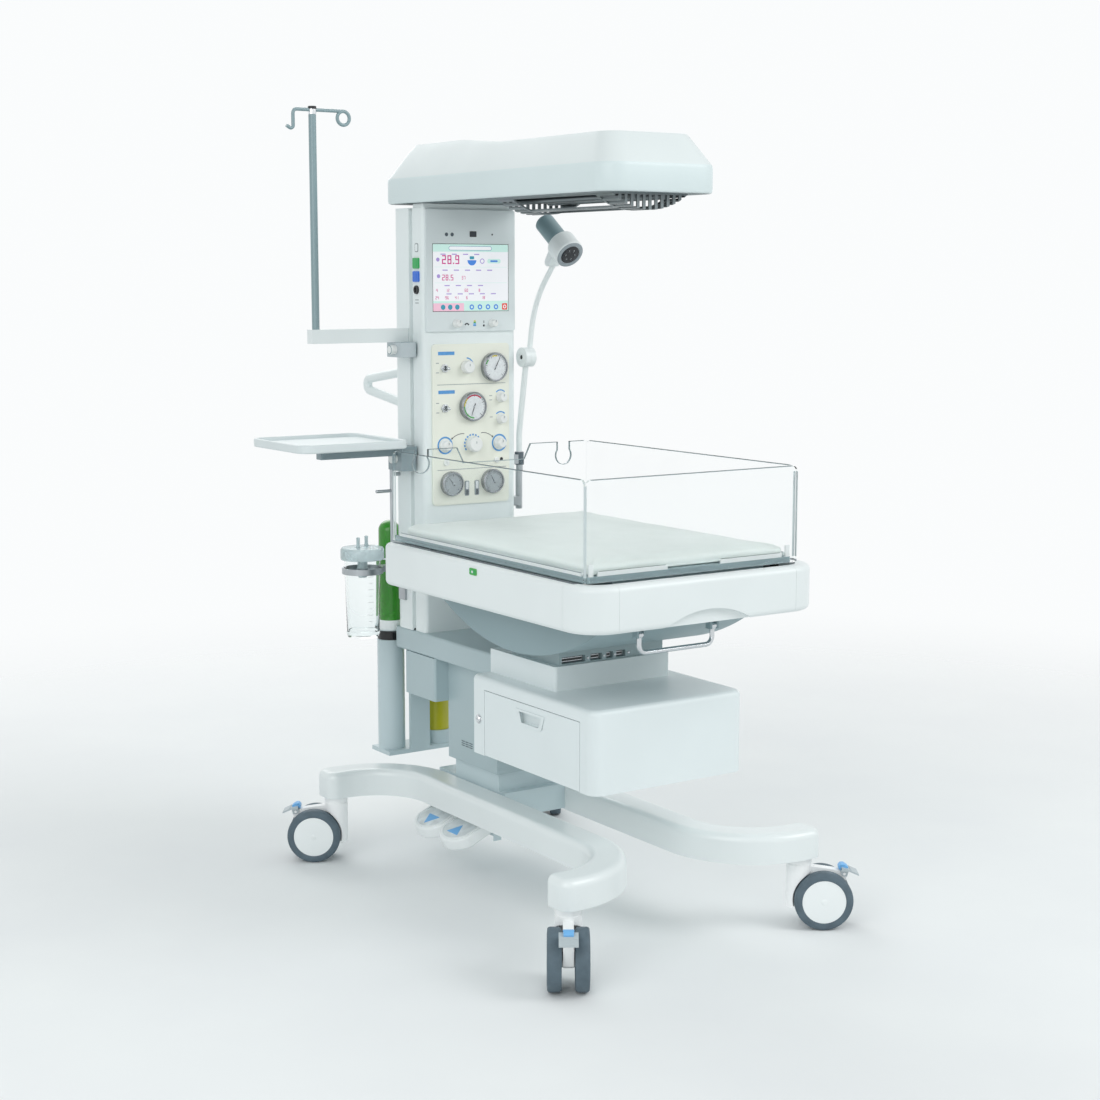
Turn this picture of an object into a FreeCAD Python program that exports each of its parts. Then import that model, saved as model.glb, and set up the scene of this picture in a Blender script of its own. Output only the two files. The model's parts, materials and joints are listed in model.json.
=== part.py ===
"""Infant radiant warmer on a lifting stand: bed, column, heater hood, gas panel, cabinet and accessories.

The frame has +Z up, +X to the right and +Y towards the column. The foot end of the bed faces -Y.
The origin lies on the floor, midway between the four caster stems. All sizes are in millimetres.
"""
import FreeCAD, Part
import math
import os
from collections import namedtuple
from types import SimpleNamespace

import Sketcher
from FreeCAD import Placement, Rotation, Vector

doc = FreeCAD.newDocument("infant_radiant_warmer")
sheet = doc.addObject("Spreadsheet::Sheet", "Dims")

SIZES = {
    # running and seating clearances
    "seat_gap": 0.3,
    "shaft_gap": 0.05,
    "slide_gap": 0.4,
    # legs and crossbeam
    "stem_half_x": 297,
    "stem_half_y": 486,
    "leg_bottom": 154,
    "leg_height": 62,
    "leg_width": 76,
    "leg_run_x": 120,
    "leg_bend": 170,
    "leg_tip": 34,
    "leg_tip_round": 24,
    "leg_top_round": 16,
    "beam_front": 80,
    "beam_rear": 368,
    "beam_lift": 4,
    # casters
    "wheel_radius": 62.5,
    "wheel_inner": 12,
    "wheel_outer": 34,
    "caster_trail": 50,
    "caster_neck_radius": 27,
    "caster_groove_depth": 1.5,
    "caster_groove_height": 4,
    "caster_collar_height": 12,
    "fork_half_width": 10.5,
    "axle_radius": 4,
    "stem_radius": 6,
    "stem_length": 40,
    "wheel_room": 2.5,
    "brake_pin_radius": 3,
    "brake_reach": 30,
    "brake_half_width": 19,
    "brake_thickness": 4,
    # foot pedals
    "pedal_width": 112,
    "pedal_front": 133,
    "pedal_tip_x": 190,
    "pedal_pin_x": 70,
    "pedal_pin_z": 103,
    "pedal_pin_radius": 4,
    "pedal_thickness": 14,
    "pedal_ear": 3,
    # lift
    "tube_half_x": 82,
    "tube_front": 105,
    "tube_rear": 292,
    "tube_wall": 5,
    "tube_top": 470,
    "liner_wall": 11.7,
    "housing_bottom": 258,
    "chassis_bottom": 492,
    "chassis_top": 545,
    "power_box_bottom": 391,
    "power_box_rear": 443,
    # cabinet and drawer
    "cabinet_half_x": 193.4,
    "cabinet_front": -423,
    "cabinet_rear": 29,
    "cabinet_bottom": 339,
    "cabinet_top": 513,
    "cabinet_round": 24,
    "cabinet_top_round": 12,
    "cabinet_floor": 4,
    "drawer_front_y": -376,
    "drawer_rear_y": -13,
    "drawer_top": 485,
    "drawer_depth": 355,
    "drawer_face": 18,
    "drawer_wall": 3,
    "drawer_gap": 1.6,
    "runner_height": 3.7,
    "pull_length": 107,
    "pull_height": 26,
    "pull_depth": 12,
    "pull_top": 466,
    "lock_y": 9,
    "lock_z": 417,
    "lock_radius": 8,
    # plinth and bed cradle
    "plinth_half_x": 150,
    "plinth_front": -222,
    "plinth_top": 565,
    "cradle_half_x": 135,
    "cradle_half_y": 90,
    "cradle_lip": 14,
    "port_lift": 3,
    "port_depth": 12,
    "port_height": 14,
    # bed
    "bed_half_x": 298.5,
    "bed_front": -547.5,
    "bed_rear": 250,
    "rim_bottom": 691.7,
    "rim_top": 785.7,
    "rim_width": 30,
    "rim_front_round": 75,
    "rim_rear_round": 30,
    "rim_edge_round": 12,
    "rim_seam": 0.5,
    "grip_half_width": 110,
    "grip_height": 30,
    "grip_depth": 14,
    "tilt_y": -125,
    "rocker_bottom": 587,
    "rocker_radius": 600,
    "rocker_half_x": 190,
    "rocker_front": -480,
    "rocker_rear": 215,
    "rocker_skin": 6,
    "flange_bottom": 735,
    "flange_thickness": 10,
    "deck_thickness": 12,
    "mattress_half_x": 247,
    "mattress_half_y": 361,
    "mattress_thickness": 25,
    "mattress_crown": 4,
    "mattress_draw": 5,
    # clear walls
    "wall_half_x": 261.6,
    "wall_front": -493.7,
    "wall_rear": 250,
    "wall_top": 986,
    "wall_thickness": 6,
    "wall_round": 14,
    "wall_gap": 1,
    "bead_radius": 4,
    "notch_radius": 21,
    "notch_x": 192,
    "notch_drop": 32,
    "tab_inner_x": 99,
    "tab_slope": 17,
    "tab_drop": 35,
    # tilt handle under the bed
    "tilt_handle_y": -437,
    "tilt_handle_half_x": 93,
    "tilt_handle_bottom": 624,
    "tilt_handle_radius": 5,
    "tilt_handle_bend": 16,
    "tilt_handle_pin_z": 662,
    "tilt_handle_eye": 8,
    "tilt_pin_radius": 3,
    "tilt_lug": 5,
    # column
    "column_half_x": 125,
    "column_front": 352,
    "column_top": 1524,
    "column_round": 10,
    "cover_half_x": 130,
    "cover_rear": 484,
    "cover_wall": 4,
    "cover_round": 25,
    "rail_front": 398,
    "rail_rear": 406,
    "rail_half_x": 118,
    # panels on the column
    "panel_face": 346,
    "control_half_x": 120,
    "control_bottom": 1244,
    "control_top": 1520,
    "screen_half_x": 102.7,
    "screen_bottom": 1289,
    "screen_top": 1443.5,
    "screen_depth": 3,
    "gas_half_x": 104,
    "gas_bottom": 843,
    "gas_top": 1215,
    "gas_face": 347.5,
    "gauge_radius": 34,
    "small_gauge_radius": 28.5,
    "gauge_depth": 15,
    "gauge_bezel": 4,
    "gauge_sink": 4,
    "knob_length": 17,
    "knob_shaft_radius": 3,
    "ring_knob_radius": 14,
    "gas_knob_radius": 12,
    "menu_knob_radius": 10,
    "toggle_ball": 4,
    "toggle_length": 24,
    "toggle_tip": 3.5,
    "toggle_pin_radius": 1.5,
    "toggle_pin_half": 4.8,
    "toggle_hole_radius": 5.4,
    # rear grab handles
    "grab_x": 90,
    "grab_top": 1137,
    "grab_bottom": 1062,
    "grab_reach": 200,
    "grab_radius": 11,
    "grab_bend": 36,
    # gas cylinders and cradle
    "oxygen_x": -120,
    "oxygen_radius": 26.7,
    "oxygen_top": 796,
    "air_x": 5,
    "air_radius": 34,
    "air_top": 690,
    "cylinder_y": 530,
    "cup_wall": 5.7,
    "cup_top": 505,
    "short_cup_height": 32,
    "cradle_floor": 238,
    "cradle_floor_thickness": 10,
    "cradle_back_left": -92,
    "cradle_back_right": -40,
    "cradle_back": 10,
    "strap_height": 24,
    # suction jar and its holder
    "jar_x": -235,
    "jar_y": 454,
    "jar_bottom": 532,
    "jar_top": 718,
    "jar_radius": 43,
    "jar_wall": 3,
    "lid_radius": 51,
    "lid_height": 28,
    "nozzle_radius": 5,
    "nozzle_height": 24,
    "nozzle_offset": 18,
    "rod_x": -152,
    "rod_y": 458,
    "rod_bottom": 742,
    "rod_top": 925,
    "rod_radius": 5,
    "peg_z": 872,
    "peg_length": 42,
    # instrument shelf
    "shelf_left": -449,
    "shelf_right": -163,
    "shelf_front": 337,
    "shelf_rear": 567,
    "shelf_top": 993,
    "shelf_thickness": 20,
    "shelf_lip": 9,
    "shelf_recess": 8,
    "shelf_round": 32,
    "clamp_bottom": 925,
    "clamp_front": 376,
    "clamp_rear": 440,
    "clamp_width": 40,
    "clamp_knob_radius": 10,
    "clamp_knob_length": 16,
    "tongue_depth": 9,
    # infusion pole
    "iv_arm_y": 420,
    "iv_arm_bottom": 1220,
    "iv_arm_height": 31,
    "iv_arm_left": -379,
    "iv_clamp_bottom": 1186,
    "iv_pole_x": -363,
    "iv_pole_radius": 8.5,
    "iv_pole_top": 1741,
    "iv_hook_left": -410,
    "iv_hook_right": -301,
    "iv_hook_radius": 4,
    "iv_ring_radius": 15,
    "iv_hook_drop": 40,
    # lamp
    "lamp_x": 148,
    "lamp_y": 372,
    "post_bottom": 819,
    "post_top": 955,
    "post_radius": 8,
    "lamp_tube_radius": 7,
    "lamp_stub_radius": 5.2,
    "elbow_y": 340,
    "elbow_z": 1181,
    "elbow_radius": 23,
    "elbow_half_x": 14,
    "lamp_arm_radius": 6.3,
    "arm_bend": 240,
    "elbow_pin": 4,
    "arm_mid_y": 316,
    "arm_mid_z": 1310,
    "arm_end_y": 231,
    "arm_end_z": 1402,
    "knuckle_radius": 10,
    "head_offset": 55,
    "head_drop_angle": 35.6,
    "head_rear": 80,
    "head_radius": 23,
    "bezel_rear": -2,
    "bezel_front": 50,
    "bezel_radius": 34,
    "lens_radius": 18,
    # hood and heater
    "hood_pivot_y": 377,
    "hood_half_x": 135.7,
    "hood_front": -368,
    "hood_rear": 487.5,
    "hood_bottom": 1537,
    "hood_belt": 1589,
    "hood_top_front": 1654,
    "hood_top_middle": 1650,
    "hood_top_rear": 1668,
    "hood_slope_x": 28,
    "hood_slope_front": 40,
    "hood_slope_rear": 46,
    "hood_round": 42,
    "hood_wall": 5,
    "hood_neck_radius": 24,
    "hood_pin_radius": 15,
    "hood_pin_length": 32,
    "heater_half_x": 100,
    "heater_front": -340,
    "heater_rear": 85,
    "heater_depth": 36,
    "heater_skin": 3,
    "heater_cap": 55,
    "heater_slot": 8,
    "heater_slot_pitch": 15,
    "heater_slot_count": 12,
    "heater_lip": 6,
    "heater_bar_x": 40,
    "heater_bar_width": 12,
    "heater_rod_radius": 7,
}

# direction in which each caster trails, in degrees from +X
CASTER_TURN = {"front_left": -123.9, "front_right": -33.9, "rear_left": 146.1, "rear_right": 56.1}
CASTER_SIGN = {"front_left": (-1, -1), "front_right": (1, -1), "rear_left": (-1, 1), "rear_right": (1, 1)}

# places on the gas panel and on the control panel, as x and z
GAUGES = {"supply": (60, 1160), "airway": (1, 1070)}
SMALL_GAUGES = {"oxygen": (-56, 893), "air": (55, 893)}
TOGGLES = {"air_toggle": (-72, 1160), "oxygen_toggle": (-72, 1068)}
GAS_KNOBS = {"suction_knob": (-14, 1162), "pressure_knob": (80, 1089), "relief_knob": (80, 1038)}
RING_KNOBS = {"left_flow_knob": (-72, 982), "mix_knob": (3, 982), "right_flow_knob": (76, 982)}
MENU_KNOBS = {"menu_knob": (-40, 1262), "alarm_knob": (57, 1262)}
PORTS = [(-128, -68), (-55, -25), (-14, 4), (12, 36)]


class Size:
    """A length that keeps the sheet expression it comes from beside its value."""

    def __init__(self, value, text):
        self.value = value
        self.text = text

    def __add__(self, other):
        other = size_of(other)
        return Size(self.value + other.value, f"({self.text} + {other.text})")

    def __sub__(self, other):
        other = size_of(other)
        return Size(self.value - other.value, f"({self.text} - {other.text})")

    def __rsub__(self, other):
        return size_of(other) - self

    def __mul__(self, factor):
        factor = size_of(factor)
        return Size(self.value * factor.value, f"({self.text} * {factor.text})")

    def __truediv__(self, factor):
        return Size(self.value / factor, f"({self.text} / {factor})")

    def __neg__(self):
        return Size(-self.value, f"(-1 * {self.text})")

    def __float__(self):
        return float(self.value)

    __radd__ = __add__
    __rmul__ = __mul__


def size_of(number):
    if isinstance(number, Size):
        return number
    return Size(float(number), f"({float(number)!r})")


def fill_sheet():
    """Write every driving size into the sheet and hand back the sizes by name."""
    for row, (name, value) in enumerate(SIZES.items(), 1):
        sheet.set(f"A{row}", name)
        sheet.set(f"B{row}", str(value))
        sheet.setAlias(f"B{row}", name)
    doc.recompute()
    return SimpleNamespace(**{name: Size(float(value), f"Dims.{name}") for name, value in SIZES.items()})


d = fill_sheet()
leg_top = d.leg_bottom + d.leg_height
rim_inner_x = d.bed_half_x - d.rim_width
deck_bottom = d.rim_top
deck_top = deck_bottom + d.deck_thickness
bead_z = d.rim_top + d.bead_radius + d.seat_gap
deck_half_x = d.wall_half_x - d.bead_radius - d.slide_gap
deck_front = d.wall_front + d.bead_radius + d.slide_gap
deck_rear = d.wall_rear + d.wall_thickness / 2
shelf_bottom = d.shelf_top - d.shelf_thickness
tilt_z = d.rocker_bottom + d.rocker_radius

Circle = namedtuple("Circle", "u v radius")
PLANES = {"x": "YZ_Plane", "y": "XZ_Plane", "z": "XY_Plane"}
NODES = []


def node(obj, label):
    """Keep an object as a finished piece under its own name."""
    obj.Label = label
    NODES.append(obj)
    return obj


def new_body(name):
    return doc.addObject("PartDesign::Body", name)


def rect(u0, u1, v0, v1):
    return [(u0, v0), (u1, v0), (u1, v1), (u0, v1)]


def round_rect(u0, u1, v0, v1, r):
    """A rectangle whose corners are arcs."""
    return [
        (u0 + r, v0),
        (u1 - r, v0),
        (u1, v0 + r, r, -1),
        (u1, v1 - r),
        (u1 - r, v1, r, -1),
        (u0 + r, v1),
        (u0, v1 - r, r, -1),
        (u0, v0 + r),
        (u0 + r, v0, r, -1),
    ][1:]


def arc_middle(start, end, radius, side):
    """The middle of the arc of a radius from start to end, bulging to the left of the chord for side +1."""
    chord = end - start
    half = chord.Length / 2
    rise = radius - math.sqrt(max(radius * radius - half * half, 0))
    left = Vector(-chord.y, chord.x, 0)
    left.normalize()
    return (start + end) * 0.5 + left * (rise * side)


def arc_radius(half_chord, rise):
    """Radius of the arc over a chord, from half the chord and the rise."""
    value = (half_chord.value ** 2 + rise.value ** 2) / (2 * rise.value)
    return Size(value, f"(({half_chord.text} ^ 2 + {rise.text} ^ 2) / (2 * {rise.text}))")


def hold_point(sketch, geometry, place, u, v):
    """Tie one point of a sketch to its distances from the sketch's origin."""
    for kind, size in (("DistanceX", size_of(u)), ("DistanceY", size_of(v))):
        index = sketch.addConstraint(Sketcher.Constraint(kind, -1, 1, geometry, place, size.value))
        sketch.setExpression(f"Constraints[{index}]", size.text)


def hold_radius(sketch, geometry, radius):
    index = sketch.addConstraint(Sketcher.Constraint("Radius", geometry, float(radius)))
    sketch.setExpression(f"Constraints[{index}]", size_of(radius).text)


def draw_outline(sketch, outline):
    """Closed outline of lines. A point with four values is reached by an arc of that radius and side."""
    corners = [Vector(float(p[0]), float(p[1]), 0) for p in outline]
    ends = []
    for i, point in enumerate(outline):
        start, end = corners[i - 1], corners[i]
        if len(point) == 4:
            middle = arc_middle(start, end, float(point[2]), point[3])
            geometry = sketch.addGeometry(Part.Arc(start, middle, end), False)
        else:
            geometry = sketch.addGeometry(Part.LineSegment(start, end), False)
        first = 1 if sketch.getPoint(geometry, 1).distanceToPoint(start) < 1e-6 else 2
        ends.append((geometry, first, 3 - first))
    for i, point in enumerate(outline):
        geometry, _, last = ends[i]
        following = ends[(i + 1) % len(ends)]
        sketch.addConstraint(Sketcher.Constraint("Coincident", geometry, last, following[0], following[1]))
        hold_point(sketch, geometry, last, point[0], point[1])
        if len(point) == 4:
            hold_radius(sketch, geometry, point[2])


def sketch_on(body, axis, level, shape):
    """A sketch across one axis of a body, at a level along that axis."""
    count = sum(o.isDerivedFrom("Sketcher::SketchObject") for o in body.Group)
    sketch = body.newObject("Sketcher::SketchObject", f"{body.Name}_outline_{count}")
    plane = next(o for o in body.Origin.OriginFeatures if o.Role == PLANES[axis])
    sketch.AttachmentSupport = [(plane, "")]
    sketch.MapMode = "FlatFace"
    level = -size_of(level) if axis == "y" else size_of(level)
    sketch.AttachmentOffset = Placement(Vector(0, 0, level.value), Rotation())
    sketch.setExpression("AttachmentOffset.Base.z", level.text)
    if isinstance(shape, Circle):
        centre = Vector(float(shape.u), float(shape.v), 0)
        geometry = sketch.addGeometry(Part.Circle(centre, Vector(0, 0, 1), float(shape.radius)), False)
        hold_point(sketch, geometry, 3, shape.u, shape.v)
        hold_radius(sketch, geometry, shape.radius)
    else:
        draw_outline(sketch, shape)
    return sketch


def pad(body, axis, shape, low, high):
    """Add the shape to a body, from low to high along the axis."""
    sketch = sketch_on(body, axis, high if axis == "y" else low, shape)
    feature = body.newObject("PartDesign::Pad", sketch.Name + "_pad")
    feature.Profile = sketch
    feature.setExpression("Length", (size_of(high) - low).text)
    return feature


def pocket(body, axis, shape, low, high):
    """Cut the shape out of a body, from low to high along the axis."""
    sketch = sketch_on(body, axis, low if axis == "y" else high, shape)
    feature = body.newObject("PartDesign::Pocket", sketch.Name + "_pocket")
    feature.Profile = sketch
    feature.setExpression("Length", (size_of(high) - low).text)
    return feature


def revolve(body, outline, axis="y"):
    """Turn an outline, drawn in the XZ plane, round the upright line of its sketch."""
    sketch = sketch_on(body, axis, 0, outline)
    feature = body.newObject("PartDesign::Revolution", sketch.Name + "_turn")
    feature.Profile = sketch
    feature.ReferenceAxis = (sketch, ["V_Axis"])
    feature.Angle = 360
    return feature


def round_edges(body, feature, radius, wanted):
    """Fillet the edges of a feature that a test picks."""
    doc.recompute()
    names = [f"Edge{i}" for i, edge in enumerate(feature.Shape.Edges, 1) if wanted(edge)]
    fillet = body.newObject("PartDesign::Fillet", f"{feature.Name}_round")
    fillet.Base = (feature, names)
    fillet.setExpression("Radius", size_of(radius).text)
    return fillet


def is_along(edge, axis):
    """Whether an edge is a straight line along an axis."""
    if not isinstance(edge.Curve, Part.Line):
        return False
    return abs(edge.tangentAt(edge.FirstParameter).dot(axis)) > 0.999


def lies_at(edge, axis, level):
    """Whether an edge keeps to one level along an axis."""
    box = edge.BoundBox
    low = {"x": box.XMin, "y": box.YMin, "z": box.ZMin}[axis]
    high = {"x": box.XMax, "y": box.YMax, "z": box.ZMax}[axis]
    return abs(low - float(level)) < 0.01 and abs(high - float(level)) < 0.01


UP = Vector(0, 0, 1)


def place(obj, x, y, z):
    for axis, size in zip("xyz", (x, y, z)):
        obj.setExpression(f"Placement.Base.{axis}", size_of(size).text)


def box(name, x0, x1, y0, y1, z0, z1):
    block = doc.addObject("Part::Box", name)
    for prop, low, high in (("Length", x0, x1), ("Width", y0, y1), ("Height", z0, z1)):
        block.setExpression(prop, (size_of(high) - low).text)
    place(block, x0, y0, z0)
    return block


TURNS = {"x": Rotation(Vector(0, 1, 0), 90), "y": Rotation(Vector(1, 0, 0), -90), "z": Rotation()}


def cylinder(name, axis, radius, low, high, u, v):
    """A round bar along an axis, at u and v on the two other axes in X, Y, Z order."""
    bar = doc.addObject("Part::Cylinder", name)
    bar.setExpression("Radius", size_of(radius).text)
    bar.setExpression("Height", (size_of(high) - low).text)
    bar.Placement = Placement(Vector(), TURNS[axis])
    centre = {"x": (low, u, v), "y": (u, low, v), "z": (u, v, low)}[axis]
    place(bar, *centre)
    return bar


def cut(name, base, *tools):
    """Take tools away from a base."""
    tool = tools[0] if len(tools) == 1 else fuse(name + "_tools", *tools)
    result = doc.addObject("Part::Cut", name)
    result.Base = base
    result.Tool = tool
    return result


def fuse(name, *pieces):
    result = doc.addObject("Part::MultiFuse", name)
    result.Shapes = list(pieces)
    return result


def common(name, first, second):
    result = doc.addObject("Part::Common", name)
    result.Base = first
    result.Tool = second
    return result


def group(name, *pieces):
    """Separate solids kept in one node."""
    result = doc.addObject("Part::Compound", name)
    result.Links = list(pieces)
    return result


def bent_path(points, bend):
    """A wire of straight runs joined by tangent arcs of one bend radius."""
    edges = []
    start = points[0]
    for corner, after in zip(points[1:-1], points[2:]):
        into = (corner - start).normalize()
        out = (after - corner).normalize()
        turn = into.getAngle(out)
        reach = bend * math.tan(turn / 2)
        first = corner - into * reach
        last = corner + out * reach
        inward = (out - into).normalize()
        middle = corner + inward * (bend / math.cos(turn / 2) - bend)
        edges.append(Part.LineSegment(start, first).toShape())
        edges.append(Part.Arc(first, middle, last).toShape())
        start = last
    edges.append(Part.LineSegment(start, points[-1]).toShape())
    return Part.Wire(edges)


def tube(name, points, bend, radius):
    """A round bar bent along points given as sizes."""
    path = bent_path([Vector(*(float(c) for c in p)) for p in points], float(bend))
    heading = path.Edges[0].tangentAt(path.Edges[0].FirstParameter)
    ring = Part.Wire(Part.makeCircle(float(radius), path.Edges[0].Vertexes[0].Point, heading))
    feature = doc.addObject("Part::Feature", name)
    feature.Shape = path.makePipeShell([ring], True, False)
    return feature


# base

def make_leg(label, side):
    """A bracket-shaped leg: it runs along the middle and bends outwards to a caster at each end."""
    body = new_body(label)
    half = d.leg_width / 2
    centre_x = d.leg_run_x + d.leg_bend
    centre_y = d.stem_half_y - d.leg_bend
    inner = d.leg_bend + half
    outer = d.leg_bend - half
    tip = (d.stem_half_x + d.leg_tip) * side
    bend_x = centre_x * side
    inner_x = (centre_x - inner) * side
    outer_x = (centre_x - outer) * side
    turn = side
    outline = [
        (tip, centre_y + outer),
        (bend_x, centre_y + outer),
        (outer_x, centre_y, outer, -turn),
        (outer_x, -centre_y),
        (bend_x, -centre_y - outer, outer, -turn),
        (tip, -centre_y - outer),
        (tip, -centre_y - inner),
        (bend_x, -centre_y - inner),
        (inner_x, -centre_y, inner, turn),
        (inner_x, centre_y),
        (bend_x, centre_y + inner, inner, turn),
        (tip, centre_y + inner),
    ]
    block = pad(body, "z", outline, d.leg_bottom, leg_top)
    tips = round_edges(
        body, block, d.leg_tip_round, lambda e: is_along(e, UP) and lies_at(e, "x", tip)
    )
    round_edges(body, tips, d.leg_top_round, lambda e: lies_at(e, "z", leg_top))
    for end in (-1, 1):
        bore = Circle(d.stem_half_x * side, d.stem_half_y * end, d.stem_radius + d.shaft_gap)
        pocket(body, "z", bore, d.leg_bottom, d.leg_bottom + d.stem_length + 2)
    return node(body, label)


def pedal_ear_fronts():
    """Front faces of the three ears that hold the pedal pin."""
    step = d.pedal_width + d.pedal_ear + d.seat_gap * 2
    first = d.pedal_front - d.seat_gap - d.pedal_ear
    return [first, first + step, first + step * 2]


def make_base_beam():
    """Crossbeam between the legs with the fixed lift tube on it and the ears of the foot pedals under it."""
    body = new_body("base_beam")
    beam_x = d.leg_run_x - d.leg_width / 2
    beam_bottom = d.leg_bottom + d.beam_lift
    pad(body, "z", rect(-beam_x, beam_x, d.beam_front, d.beam_rear), beam_bottom, leg_top)
    pad(body, "z", rect(-d.tube_half_x, d.tube_half_x, d.tube_front, d.tube_rear), leg_top, d.tube_top)
    inside = rect(
        d.tube_wall - d.tube_half_x,
        d.tube_half_x - d.tube_wall,
        d.tube_front + d.tube_wall,
        d.tube_rear - d.tube_wall,
    )
    pocket(body, "z", inside, leg_top, d.tube_top)
    ear_half = d.pedal_pin_radius * 2.5
    ear_outline = rect(
        -d.pedal_pin_x - ear_half,
        -d.pedal_pin_x + ear_half,
        d.pedal_pin_z - ear_half,
        beam_bottom,
    )
    fronts = pedal_ear_fronts()
    for front in fronts:
        pad(body, "y", ear_outline, front, front + d.pedal_ear)
    pin = Circle(-d.pedal_pin_x, d.pedal_pin_z, d.pedal_pin_radius)
    pad(body, "y", pin, fronts[0], fronts[-1] + d.pedal_ear)
    return node(body, "base_beam")


def make_pedal(label, front):
    """A foot pedal: a rounded plate on a barrel, under the left leg."""
    body = new_body(label)
    rear = front + d.pedal_width
    tip = -d.pedal_tip_x
    round_start = tip + d.pedal_width / 3
    root = -d.pedal_pin_x
    outline = [
        (root, front),
        (root, rear),
        (round_start, rear),
        (tip, (front + rear) / 2, d.pedal_width * 0.56, -1),
        (round_start, front, d.pedal_width * 0.56, -1),
    ]
    low = d.pedal_pin_z - d.pedal_thickness / 2
    plate = pad(body, "z", outline, low, low + d.pedal_thickness)
    round_edges(body, plate, d.pedal_thickness / 4, lambda e: lies_at(e, "z", low + d.pedal_thickness))
    barrel = Circle(-d.pedal_pin_x, d.pedal_pin_z, d.pedal_pin_radius + d.pedal_thickness / 3)
    pad(body, "y", barrel, front, rear)
    pocket(body, "y", Circle(-d.pedal_pin_x, d.pedal_pin_z, d.pedal_pin_radius + d.shaft_gap), front, rear)
    return node(body, label)


def caster_placement(corner):
    """Where a caster stands, turned so that its own +X trails the stem."""
    sign_x, sign_y = CASTER_SIGN[corner]
    spot = Vector(float(d.stem_half_x) * sign_x, float(d.stem_half_y) * sign_y, 0)
    return Placement(spot, Rotation(UP, CASTER_TURN[corner]))


def brake_pin_place():
    """Place of the brake lever's pin on the fork, above and behind the wheels."""
    return d.caster_trail + d.wheel_radius * 0.72, d.wheel_radius * 1.86


def make_fork(corner):
    """Caster fork: a grooved neck with a stem, and a web between the wheels for axle and brake."""
    body = new_body(f"caster_fork_{corner}")
    top = d.leg_bottom - d.seat_gap
    neck_low = d.wheel_radius * 0.7
    groove_top = top - d.caster_collar_height
    groove_low = groove_top - d.caster_groove_height
    waist = d.caster_neck_radius - d.caster_groove_depth
    pad(body, "z", Circle(0, 0, d.caster_neck_radius), neck_low, groove_low)
    pad(body, "z", Circle(0, 0, waist), groove_low, groove_top)
    pad(body, "z", Circle(0, 0, d.caster_neck_radius), groove_top, top)
    pin_x, pin_z = brake_pin_place()
    boss = d.brake_pin_radius * 2
    web = [
        (-d.caster_neck_radius * 0.7, neck_low),
        (d.caster_trail, d.wheel_radius * 0.72),
        (d.caster_trail + d.wheel_radius * 0.62, d.wheel_radius),
        (pin_x + boss, pin_z - boss),
        (pin_x + boss, pin_z + boss * 0.5),
        (pin_x - boss, pin_z + boss),
        (d.caster_neck_radius * 0.9, groove_low - boss),
        (-d.caster_neck_radius * 0.7, groove_low - boss),
    ]
    pad(body, "y", web, -d.fork_half_width, d.fork_half_width)
    sweep = Circle(d.caster_trail, d.wheel_radius, d.wheel_radius + d.wheel_room)
    pocket(body, "y", sweep, d.fork_half_width, d.wheel_outer)
    pocket(body, "y", sweep, -d.wheel_outer, -d.fork_half_width)
    pocket(
        body,
        "y",
        Circle(d.caster_trail, d.wheel_radius, d.axle_radius + d.shaft_gap),
        -d.wheel_outer,
        d.wheel_outer,
    )
    pin_half = d.fork_half_width + d.brake_thickness
    pad(body, "y", Circle(pin_x, pin_z, d.brake_pin_radius), -pin_half, pin_half)
    pad(body, "z", Circle(0, 0, d.stem_radius), top, top + d.stem_length)
    body.Placement = caster_placement(corner)
    return node(body, body.Name)


def make_wheels(corner):
    """A pair of wheels on one axle, turned as one profile. The sketch's upright line is the axle."""
    body = new_body(f"caster_wheels_{corner}")
    r = d.wheel_radius
    face = d.wheel_outer
    back = d.wheel_inner
    hub = d.fork_half_width + d.seat_gap
    upper = [
        (d.axle_radius, hub),
        (r * 0.24, hub),
        (r * 0.24, back + 4),
        (r * 0.72, back + 4),
        (r * 0.76, back),
        (r * 0.94, back),
        (r, back + 5),
        (r, face - 7),
        (r * 0.95, face - 2),
        (r * 0.77, face),
        (r * 0.74, face - 2),
        (r * 0.3, face),
        (0, face),
    ]
    lower = [(u, -v) for u, v in reversed(upper)]
    revolve(body, upper + lower)
    own = Placement(Vector(float(d.caster_trail), 0, float(r)), Rotation(Vector(1, 0, 0), 90))
    body.Placement = caster_placement(corner).multiply(own)
    return node(body, body.Name)


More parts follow.
